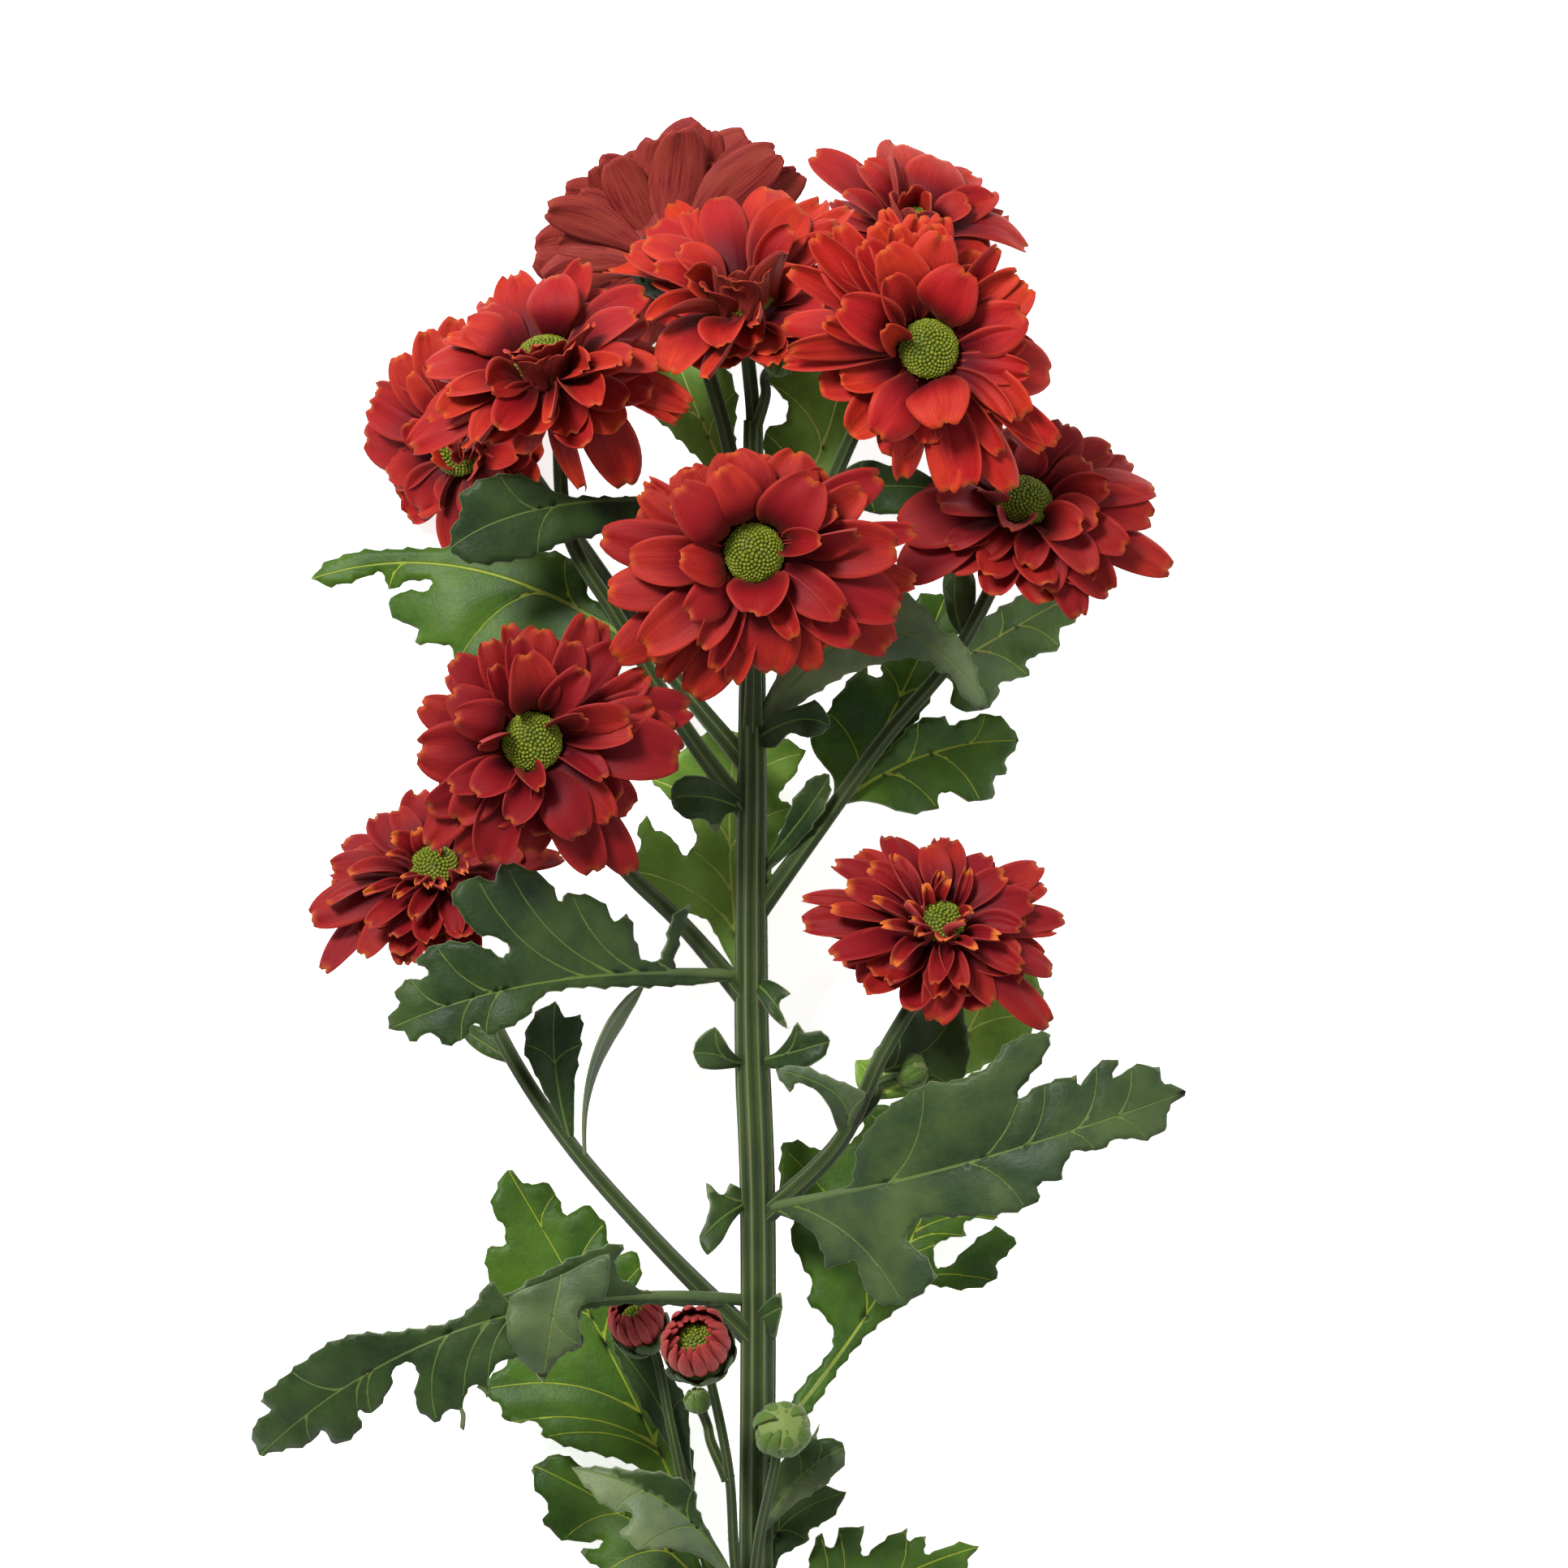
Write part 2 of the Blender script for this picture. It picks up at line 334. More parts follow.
def make_stage():
    world = bpy.data.worlds.new("studio")
    scene.world = world
    world.use_nodes = True
    background = world.node_tree.nodes["Background"]
    background.inputs["Color"].default_value = (1.0, 1.0, 1.0, 1.0)
    background.inputs["Strength"].default_value = SKY_STRENGTH
    for light in LIGHTS:
        make_light(*light)
    bpy.ops.mesh.primitive_plane_add(size=FLOOR_SIZE, location=FLOOR_MIDDLE)
    floor = bpy.context.object
    floor.name = "floor"
    paint = Paint("floor")
    tint = paint.noise(paint.place(), 3.0)
    paint.colour(paint.mix(tint, linear(246, 246, 246), linear(250, 250, 250)))
    paint.set(Roughness=0.9, Emission_Strength=FLOOR_GLOW)
    floor.data.materials.append(paint.material)


# Materials

# Sockets of a colour mix, by number, since some of its names come twice.
MIX_SHARE, MIX_FIRST, MIX_SECOND, MIX_RESULT = 0, 6, 7, 2


class Paint:
    """A Principled material under construction, with short names for the nodes it uses."""

    def __init__(self, name):
        self.material = bpy.data.materials.new(name)
        self.material.use_nodes = True
        self.tree = self.material.node_tree
        self.shader = self.tree.nodes["Principled BSDF"]

    def node(self, kind, inputs=(), **settings):
        made = self.tree.nodes.new(kind)
        for key, value in settings.items():
            setattr(made, key, value)
        for key, value in dict(inputs).items():
            if isinstance(value, bpy.types.NodeSocket):
                self.tree.links.new(value, made.inputs[key])
            else:
                made.inputs[key].default_value = value
        return made

    def value(self, name):
        """A value that the mesh holds at each point."""
        return self.node("ShaderNodeAttribute", attribute_name=name).outputs["Fac"]

    def place(self):
        return self.node("ShaderNodeTexCoord").outputs["Object"]

    def math(self, operation, first, second=0.0):
        return self.node("ShaderNodeMath", {0: first, 1: second}, operation=operation).outputs[0]

    def add(self, first, second):
        return self.math("ADD", first, second)

    def times(self, first, second):
        return self.math("MULTIPLY", first, second)

    def ease(self, value, low, high, start=0.0, end=1.0):
        """value carried smoothly from low..high to start..end."""
        inputs = {"Value": value, "From Min": low, "From Max": high, "To Min": start, "To Max": end}
        made = self.node("ShaderNodeMapRange", inputs, interpolation_type="SMOOTHSTEP")
        return made.outputs["Result"]

    def mix(self, share, first, second):
        """The first colour where share is 0 and the second where it is 1."""
        inputs = {MIX_SHARE: share, MIX_FIRST: first, MIX_SECOND: second}
        return self.node("ShaderNodeMix", inputs, data_type="RGBA").outputs[MIX_RESULT]

    def join(self, x, y, z):
        return self.node("ShaderNodeCombineXYZ", {"X": x, "Y": y, "Z": z}).outputs[0]

    def noise(self, vector, scale, detail=3.0, roughness=0.5):
        inputs = {"Vector": vector, "Scale": scale, "Detail": detail, "Roughness": roughness}
        return self.node("ShaderNodeTexNoise", inputs).outputs["Fac"]

    def net(self, vector, scale):
        """Distance from the lines of a net of small cells."""
        inputs = {"Vector": vector, "Scale": scale}
        made = self.node("ShaderNodeTexVoronoi", inputs, feature="DISTANCE_TO_EDGE")
        return made.outputs["Distance"]

    def colour(self, socket):
        self.tree.links.new(socket, self.shader.inputs["Base Color"])

    def bump(self, height, distance, strength=1.0):
        inputs = {"Height": height, "Distance": distance * MM, "Strength": strength}
        made = self.node("ShaderNodeBump", inputs)
        self.tree.links.new(made.outputs["Normal"], self.shader.inputs["Normal"])

    def set(self, **values):
        for key, value in values.items():
            self.shader.inputs[key.replace("_", " ")].default_value = value


def petal_paint():
    """Crimson at the root, red-orange above, an orange notched tip, and a duller reverse."""
    paint = Paint("petal")
    along, across, tone, warmth = (paint.value(key) for key in ("along", "across", "tone", "warmth"))
    shift = paint.times(tone, 40.0)
    streaks = paint.noise(paint.join(paint.times(across, 8.0), along, shift), 2.6, 4.0, 0.6)
    blotch = paint.noise(paint.join(across, paint.times(along, 2.0), shift), 1.3, 2.0)
    front = petal_front(paint, along, tone, warmth, blotch)
    front = paint.mix(petal_tip(paint, along, across, streaks), front, linear(196, 104, 38))
    skin = paint.mix(paint.value("back"), front, petal_rear(paint, warmth, streaks, blotch))
    dark = paint.ease(streaks, 0.3, 0.6, 0.0, 0.38)
    paint.colour(paint.mix(dark, skin, linear(84, 4, 12)))
    grain = paint.noise(paint.place(), 2200.0, 2.0)
    paint.bump(paint.add(grain, paint.times(streaks, 1.5)), 0.09, 0.6)
    paint.set(Roughness=0.6, Sheen_Weight=0.1, Sheen_Roughness=0.4, Specular_IOR_Level=0.12,
              Sheen_Tint=linear(255, 130, 100))
    return paint.material


def petal_front(paint, along, tone, warmth, blotch):
    """A petal's upper side: dark at the root, warmer toward the tip, with a paler rim."""
    bright = paint.mix(warmth, linear(92, 3, 14), linear(146, 12, 17))
    front = paint.mix(paint.ease(along, 0.12, 0.85), linear(50, 1, 9), bright)
    warm = paint.times(paint.ease(tone, 0.1, 0.9, 0.15, 1.0), paint.ease(along, 0.35, 1.0))
    warm = paint.times(warm, paint.ease(blotch, 0.25, 0.7, 0.3, 1.0))
    warm = paint.times(warm, paint.ease(warmth, 0.0, 1.0, 0.3, 0.95))
    front = paint.mix(warm, front, linear(176, 50, 18))
    pale = paint.mix(warmth, linear(158, 42, 34), linear(206, 74, 50))
    return paint.mix(paint.times(paint.value("rim"), 0.4), front, pale)


def petal_tip(paint, along, across, streaks):
    """How orange a petal is: only at its ragged tip, and farther down where it is tipped."""
    tipped = paint.value("tipped")
    edge = paint.add(along, paint.times(streaks, 0.12))
    edge = paint.add(edge, paint.times(tipped, 0.2))
    inner = paint.ease(paint.math("ABSOLUTE", across), 0.25, 0.7, 1.0, 0.1)
    return paint.times(paint.ease(edge, 0.98, 1.12, 0.0, 0.85), paint.math("MAXIMUM", inner, tipped))


def petal_rear(paint, warmth, streaks, blotch):
    """A petal's underside: streaked, dusty pink on the crimson blooms and bronze on the warm ones."""
    dark = paint.mix(warmth, linear(138, 32, 44), linear(74, 14, 17))
    light = paint.mix(warmth, linear(180, 80, 78), linear(138, 50, 32))
    rear = paint.mix(paint.ease(streaks, 0.35, 0.65), dark, light)
    return paint.mix(paint.ease(blotch, 0.4, 0.75, 0.0, 0.5), rear, linear(134, 60, 44))


def disc_paint():
    """Yellow-green florets, darker between them and paler on some."""
    paint = Paint("disc")
    rise, tone = paint.value("rise"), paint.value("tone")
    green = paint.mix(tone, linear(76, 88, 12), linear(110, 116, 30))
    paint.colour(paint.mix(paint.ease(rise, 0.0, 0.8), linear(62, 74, 10), green))
    paint.bump(paint.noise(paint.place(), 2500.0), 0.05, 0.5)
    paint.set(Roughness=0.5, Specular_IOR_Level=0.2)
    return paint.material


def green_paint():
    """Stems, cups and buds: dark green with pale ridges and a fine down."""
    paint = Paint("green")
    pale, bud = paint.value("pale"), paint.value("bud")
    patches = paint.noise(paint.place(), 90.0, 4.0, 0.6)
    green = paint.mix(paint.ease(patches, 0.3, 0.7), linear(31, 46, 14), linear(46, 60, 21))
    green = paint.mix(paint.ease(pale, 0.0, 0.5, 0.65, 0.0), green, linear(18, 30, 8))
    green = paint.mix(paint.ease(pale, 0.78, 1.0, 0.0, 0.45), green, linear(112, 116, 76))
    light = paint.mix(paint.ease(pale, 0.3, 0.95), linear(64, 86, 28), linear(152, 160, 98))
    paint.colour(paint.mix(bud, green, light))
    paint.bump(paint.noise(paint.place(), 1100.0, 5.0, 0.7), 0.14, 0.7)
    paint.set(Roughness=0.62, Sheen_Weight=0.1, Sheen_Roughness=0.5, Specular_IOR_Level=0.15)
    return paint.material


def leaf_paint(name, dark, light, vein_colour, under_colour):
    """A leaf: mottled green, thin paler veins, a fine net between them and a silvery hairy edge."""
    paint = Paint(name)
    vein, edge, under = (paint.value(key) for key in ("vein", "edge", "under"))
    under = paint.math("MAXIMUM", under, paint.value("silver"))
    mottle = paint.noise(paint.place(), 70.0, 4.0, 0.6)
    green = paint.mix(paint.ease(mottle, 0.3, 0.7), dark, light)
    cells = paint.ease(paint.net(paint.place(), 700.0), 0.0, 0.12)
    green = paint.mix(paint.times(paint.math("SUBTRACT", 1.0, cells), 0.15), green, light)
    lower = paint.mix(paint.ease(mottle, 0.3, 0.7), under_colour, linear(94, 104, 68))
    green = paint.mix(under, green, lower)
    green = paint.mix(paint.ease(vein, 0.4, 1.3, 0.75, 0.0), green, vein_colour)
    green = paint.mix(paint.ease(edge, 0.0, 0.2, 0.5, 0.0), green, linear(104, 114, 80))
    paint.colour(green)
    grain = paint.times(paint.noise(paint.place(), 900.0, 4.0), 0.4)
    relief = paint.add(paint.times(cells, 0.12), grain)
    paint.bump(paint.add(relief, paint.ease(vein, 0.3, 1.6, 0.0, 0.8)), 0.2, 0.7)
    paint.set(Roughness=0.5, Sheen_Weight=0.04, Sheen_Roughness=0.5, Specular_IOR_Level=0.16)
    return paint.material


# Meshes

PRESS_HEIGHT = 1.5  # below this height petals and leaves are pressed flat by the surface


def pressed(points):
    """Points that would pass through the surface come to lie just over it."""
    low = np.minimum(points[:, 2], PRESS_HEIGHT)
    over = PRESS_HEIGHT * np.exp((low - PRESS_HEIGHT) / PRESS_HEIGHT) - low
    return points + over[:, None] * (0.0, 0.0, 1.0)


class Shape:
    """Points, faces and named values of each point, gathered before they become one mesh."""

    def __init__(self, *names):
        self.blocks = []
        self.solid = []
        self.values = {name: [] for name in names}

    def add(self, points, faces, solid=True, **values):
        points = pressed(np.asarray(points, float).reshape(-1, 3))
        self.blocks.append((points, np.asarray(faces)))
        self.solid.append(solid)
        for name, blocks in self.values.items():
            blocks.append(np.broadcast_to(values.get(name, 0.0), len(points)))

    def piece(self, name, material, slot, *nodes):
        """Makes the mesh, which stands for the given nodes of the part."""
        mesh = bpy.data.meshes.new(name)
        points, faces, count = [], [], 0
        for block, corners in self.blocks:
            points.append(block * MM)
            faces += (corners + count).tolist()
            count += len(block)
        mesh.from_pydata(np.concatenate(points).tolist(), [], faces)
        for key, blocks in self.values.items():
            attribute = mesh.attributes.new(key, "FLOAT", "POINT")
            attribute.data.foreach_set("value", np.concatenate(blocks).astype(np.float32))
        mesh.shade_smooth()
        mesh.materials.append(material)
        made = bpy.data.objects.new(name, mesh)
        scene.collection.objects.link(made)
        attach(made, "root")
        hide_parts(*nodes)


def unit(vector):
    vector = np.asarray(vector, float)
    return vector / np.linalg.norm(vector, axis=-1, keepdims=True)


def spin(vector, axis, angle):
    """vector turned about a unit axis by an angle in radians."""
    cosine, sine = np.cos(angle)[..., None], np.sin(angle)[..., None]
    along = (axis * vector).sum(-1, keepdims=True)
    return vector * cosine + np.cross(axis, vector) * sine + axis * along * (1 - cosine)


def grid(rows, columns, closed=False):
    """Quads of a grid of points, row after row. closed joins the last column to the first."""
    row = np.arange(rows - 1)[:, None] * columns
    column = np.arange(columns if closed else columns - 1)[None]
    following = (column + 1) % columns
    corners = [row + column, row + following, row + following + columns, row + column + columns]
    return np.stack(corners, -1).reshape(-1, 4)


def sheet_faces(rows, columns):
    """Quads of a thin closed sheet: an upper grid of points, a lower one, and the rim between."""
    count = rows * columns
    faces = grid(rows, columns)
    last = columns - 1
    loop = np.concatenate([
        np.arange(columns), np.arange(1, rows) * columns + last,
        (rows - 1) * columns + np.arange(last - 1, -1, -1), np.arange(rows - 2, 0, -1) * columns,
    ])
    following = np.roll(loop, -1)
    rim = np.stack([loop, following, following + count, loop + count], -1)
    return np.concatenate([faces[:, ::-1], faces + count, rim])


HAIR_RADIUS = 0.03
HAIR_LEAN = 0.35  # how unevenly hairs stand, as a share of their length
HAIR_LENGTHS = (0.6, 1.2)  # shares of the usual length
ASKEW = (0.31, 0.52, 0.79)  # a direction that no hair or stalk follows


def add_hairs(shape, roots, outward, length, rng, **values):
    """Short fine hairs, each a three-sided spike that leans a little."""
    lean = unit(outward + rng.normal(0, HAIR_LEAN, outward.shape))
    side = unit(np.cross(lean, ASKEW))
    other = np.cross(lean, side)
    corners = [roots + (side * math.cos(turn) + other * math.sin(turn)) * HAIR_RADIUS
               for turn in (0.0, math.tau / 3, math.tau * 2 / 3)]
    tips = roots + lean * (length * rng.uniform(*HAIR_LENGTHS, len(roots)))[:, None]
    spike = np.array([[0, 1, 3], [1, 2, 3], [2, 0, 3], [0, 2, 1]])
    faces = (np.arange(len(roots)) * len(spike))[:, None, None] + spike
    shape.add(np.stack([*corners, tips], 1), faces.reshape(-1, 3), solid=False, **values)


# Stem and stalks

STEM_STEPS, STEM_SIDES, STEM_RIBS = 170, 64, 9
STALK_STEPS, STALK_SIDES, STALK_RIBS = 40, 24, 6
STALK_GROOVES = 0.16  # depth as a share of the radius
STEM_WOBBLE, STALK_WOBBLE = 0.02, 0.03
STEM_HAIRS, STALK_HAIRS = 8.0, 4.0  # hairs per millimetre of length
STALK_HAIR_LENGTH = 0.4
SMOOTH_PALE = 0.35  # how pale a stalk without ribs is
FOOT_SWELL, UPPER_SWELL, NECK_SWELL = 0.45, 0.12, 0.35  # what a stalk's radius gains along it
NECK_BELOW, NECK_ABOVE = 3.5, 1.5  # the straight end of a stalk, below and above the foot of its cup


def curve_points(points, steps):
    """Points along the smooth curve through the given ones, spread over its spans alike."""
    points = np.asarray(points, float)
    ends = np.vstack([2 * points[0] - points[1], points, 2 * points[-1] - points[-2]])
    made = []
    for place in np.linspace(0, len(points) - 1, steps):
        span = min(int(place), len(points) - 2)
        share = place - span
        p0, p1, p2, p3 = ends[span:span + 4]
        d0, d1, d2 = (np.linalg.norm(b - a) ** 0.5 for a, b in ((p0, p1), (p1, p2), (p2, p3)))
        t1 = ((p1 - p0) / d0 - (p2 - p0) / (d0 + d1) + (p2 - p1) / d1) * d1
        t2 = ((p2 - p1) / d1 - (p3 - p1) / (d1 + d2) + (p3 - p2) / d2) * d1
        c2 = -3 * p1 + 3 * p2 - 2 * t1 - t2
        c3 = 2 * p1 - 2 * p2 + t1 + t2
        made.append(p1 + t1 * share + c2 * share**2 + c3 * share**3)
    return np.array(made)


def add_tube(shape, points, radii, sides, ribs=0, depth=0.0, end_cut=0.0, wobble=0.0, hairs=0.0,
             **values):
    """A stalk along points, with its ribs raised by a share of its radius and both ends closed."""
    along = unit(np.gradient(points, axis=0))
    side = np.array((1.0, 0.0, 0.0))
    angle = np.arange(sides) / sides * 2 * np.pi
    profile = 0.5 + 0.5 * np.cos(ribs * (angle - np.pi / 2)) if ribs else np.zeros(sides)
    rings = []
    for i, (point, heading) in enumerate(zip(points, along)):
        side = unit(side - heading * (side @ heading))
        lift = np.cross(heading, side)
        radius = radii[i] * (1 - depth + depth * profile)
        radius = radius * (1 + wobble * np.sin(3 * angle + i * 0.11) * np.sin(i * 0.07))
        ring = point + side * (radius * np.cos(angle))[:, None] + lift * (radius * np.sin(angle))[:, None]
        if i == 0:
            ring = ring + heading * (end_cut * radius * np.sin(angle))[:, None]
        rings.append(ring)
    rings = np.array(rings)
    pale = np.tile(profile, len(rings)) if ribs else SMOOTH_PALE
    shape.add(rings, grid(len(rings), sides, closed=True), pale=pale, **values)
    if hairs:
        add_tube_hairs(shape, points, rings, hairs, **values)
    for ring, order in ((rings[0], -1), (rings[-1], 1)):
        fan = [[0, i + 1, (i + 1) % sides + 1][::order] for i in range(sides)]
        shape.add(np.vstack([ring.mean(0), ring]), fan, pale=1.0, **values)


def add_tube_hairs(shape, points, rings, hairs, **values):
    rows, sides = rings.shape[:2]
    rng = np.random.default_rng(rows + sides)
    count = int(hairs * np.linalg.norm(np.diff(points, axis=0), axis=1).sum())
    row, place = rng.integers(1, rows - 2, count), rng.integers(0, sides, count)
    share = rng.random(count)[:, None]
    roots = rings[row, place] * (1 - share) + rings[row + 1, place] * share
    outward = unit(rings[row, place] - points[row])
    add_hairs(shape, roots, outward, STALK_HAIR_LENGTH, rng, pale=1.0, **values)


def foot_of(head, depth):
    """The place straight below a bloom's disc by a depth."""
    return np.asarray(head["at"], float) - unit(head["face"]) * depth


def add_stalk(shape, head, radius, depth):
    """A ridged stalk, thick where it leaves the stem and a little wider again under its bloom."""
    ends = foot_of(head, depth + NECK_BELOW), foot_of(head, depth - NECK_ABOVE)
    points = curve_points([*head["stalk"], *ends], STALK_STEPS)
    share = np.linspace(0, 1, len(points))
    radii = radius * (1 + FOOT_SWELL * (1 - share) ** 6 + UPPER_SWELL * np.clip(1 - share * 1.6, 0, 1)
                      + NECK_SWELL * share**14)
    add_tube(shape, points, radii, STALK_SIDES, ribs=STALK_RIBS, depth=STALK_GROOVES,
             wobble=STALK_WOBBLE, hairs=STALK_HAIRS)


def add_turned(shape, profile, head, segments=24, **values):
    """A turned form round a bloom's axis, from radius and height pairs."""
    face = unit(head["face"])
    across, up = bloom_axes(face)
    angle = np.arange(segments) / segments * 2 * np.pi
    rim = across * np.cos(angle)[:, None] + up * np.sin(angle)[:, None]
    rings = [head["at"] + rim * radius + face * height for radius, height in profile]
    shape.add(np.array(rings), grid(len(profile), segments, closed=True), **values)


# Petals and other small blades

FLOOR_GAP = 0.6  # least height of a petal's line over the surface
BLADE_ROWS, BLADE_COLUMNS = 15, 13
BRACT_ROWS, BRACT_COLUMNS = 9, 7
BROADEST = 0.6  # share of a petal's length where it is broadest
ROOT_WIDTH = 0.26  # width of its root over its broadest
GROOVE_AT, GROOVE_WIDTH, CREASE_WIDTH = 0.42, 0.2, 0.16  # shares of a petal's half width
TEETH_FROM, TOOTH_WIDTH = 0.72, 0.16  # share of the length, share of the half width
RIM_THINNING, TIP_THINNING = 0.65, 0.5  # shares of the thickness
USUAL_WIDTH = 9  # a wider petal has more streaks across it


def bloom_axes(face):
    """Two directions square to the way a bloom looks, the first as level as can be."""
    across = np.cross(face, (0.0, 1.0, 0.0))
    if across @ across < 0.05:
        across = np.array((1.0, 0.0, 0.0))
    across = unit(across - face * (across @ face))
    return across, np.cross(face, across)


def level_side(level, heading):
    return unit(level - heading * (heading * level).sum(-1, keepdims=True))


def framed(places, heading, side, roll):
    """A blade's line: its places, headings, sides and upper directions, turned about its own length."""
    side = spin(side, heading, np.radians(roll))
    return places, heading, side, np.cross(heading, side)


def grown_line(head, form, shares):
    """The line of a blade that leaves a bloom's axis at an angle and curls evenly."""
    face = unit(head["face"])
    across, up = bloom_axes(face)
    outward = across * math.cos(form["azimuth"]) + up * math.sin(form["azimuth"])
    level = np.cross(face, outward)

    def toward(share):
        lift = np.radians(form["lift"] + form["curl"] * share)[:, None]
        sway = np.radians(form["sway"] * share)[:, None]
        flat = outward * np.cos(sway) + level * np.sin(sway)
        return flat * np.cos(lift) + face * np.sin(lift)

    middles = toward((shares[1:] + shares[:-1]) / 2)
    steps = np.diff(shares)[:, None] * form["length"]
    root = head["at"] + outward * form["root"] + face * form["height"]
    places = np.vstack([root, root + np.cumsum(middles * steps, axis=0)])
    heading = toward(shares)
    return framed(places, heading, level_side(level, heading), form["roll"] + form["twist"] * shares)


def drawn_line(head, form, shares):
    """The line of a blade whose tip is given, arched over the straight way there."""
    face = unit(head["face"])
    x, y, height = form["tip"]
    rise = (height - x * face[0] - y * face[1]) / face[2]
    tip = head["at"] + np.array((x, y, rise))
    outward = tip - head["at"]
    outward = unit(outward - face * (outward @ face))
    level = np.cross(face, outward)
    root = head["at"] + outward * form["root"] + face * form["height"]
    over = unit(np.cross(tip - root, level))
    bend = (root + tip) / 2 + over * form["arch"] * 2 + level * form["sway"]
    share = shares[:, None]
    places = root * (1 - share) ** 2 + 2 * bend * share * (1 - share) + tip * share**2
    places[:, 2] = np.maximum(places[:, 2], FLOOR_GAP)
    heading = unit((bend - root) * (1 - share) + (tip - bend) * share)
    return framed(places, heading, level_side(level, heading), form["roll"] + form["twist"] * (shares - 0.5))


def petal_width(shares):
    """A petal's half width along it: narrow at the root, broad past the middle, with a round tip."""
    swell = np.sin(np.pi / 2 * np.clip(shares / BROADEST, 0, 1)) ** 1.2
    rising = ROOT_WIDTH + (1 - ROOT_WIDTH) * swell
    falling = np.sqrt(1 - (np.clip(shares - BROADEST, 0, 1) / 0.435) ** 2)
    return np.where(shares < BROADEST, rising, falling)


def bract_width(shares):
    """A bract's half width along it: broad low down, with a drawn-out tip."""
    return np.interp(shares, (0, 0.35, 0.7, 0.9, 1), (0.7, 1, 0.8, 0.42, 0.12))


def blade(line, form, width, rng, rows=BLADE_ROWS, columns=BLADE_COLUMNS):
    """One blade as points, faces and values: cupped across, grooved lengthwise, toothed at its tip."""
    shares = row_shares(rows)
    across = np.linspace(-1, 1, columns)
    places, heading, side, over = (part[:, None] for part in line)
    half = form["width"] / 2 * width(shares)[:, None]
    cup = form["cup"] * (1.25 - 0.6 * shares)[:, None]
    cup = np.where(np.abs(cup) < 1e-3, 1e-3, cup)
    angle = across * cup
    grooves = (np.exp(-(((np.abs(across) - GROOVE_AT) / GROOVE_WIDTH) ** 2))
               + form["crease"] * np.exp(-((across / CREASE_WIDTH) ** 2)))
    fade = np.sin(np.pi * np.clip(shares * 0.85 + 0.1, 0, 1))[:, None]
    wave = np.sin(across * form["ripple"] + form["phase"] + 3 * shares[:, None]) * shares[:, None] ** 2
    height = half * (1 - np.cos(angle)) / cup - form["groove"] * grooves * fade + form["wave"] * wave
    near_tip = np.clip((shares - TEETH_FROM) / (1 - TEETH_FROM), 0, 1)[:, None] ** 2
    teeth = sum((depth * np.exp(-(((across - at) / TOOTH_WIDTH) ** 2)) for at, depth in form["teeth"]),
                0 * across)
    back = near_tip * teeth
    x = (half * np.sin(angle) / cup)[..., None]
    upper = places + side * x + over * height[..., None] - heading * back[..., None]
    normal = over * np.cos(angle)[..., None] - side * np.sin(angle)[..., None]
    thick = form["thickness"] * (1 - RIM_THINNING * across**4) * (1 - TIP_THINNING * shares[:, None] ** 4)
    lower = upper - normal * thick[..., None]
    along = np.broadcast_to(shares[:, None], (rows, columns)).ravel()
    wide = np.broadcast_to(across, (rows, columns)).ravel()
    return {
        "points": np.concatenate([upper.reshape(-1, 3), lower.reshape(-1, 3)]),
        "faces": sheet_faces(rows, columns),
        "along": np.tile(along, 2),
        "across": np.tile(wide * form["width"] / USUAL_WIDTH, 2),
        "rim": np.tile(np.abs(wide) ** 7, 2),
        "tipped": form["tipped"],
        "back": np.repeat((0.0, 1.0), rows * columns),
        "tone": rng.random(),
        "warmth": form["warmth"],
    }


def row_shares(rows):
    """Shares along a blade, closer together toward its tip."""
    share = np.linspace(0, 1, rows)
    return share + 0.3 * share * (1 - share)


PLAIN = {"sway": 0.0, "roll": 0.0, "twist": 0.0, "arch": 0.0, "groove": 0.0, "crease": 0.0, "wave": 0.0,
         "ripple": 1.0, "phase": 0.0, "teeth": (), "thickness": 0.36, "cup": 0.2, "warmth": 0.4,
         "tipped": 0.0}

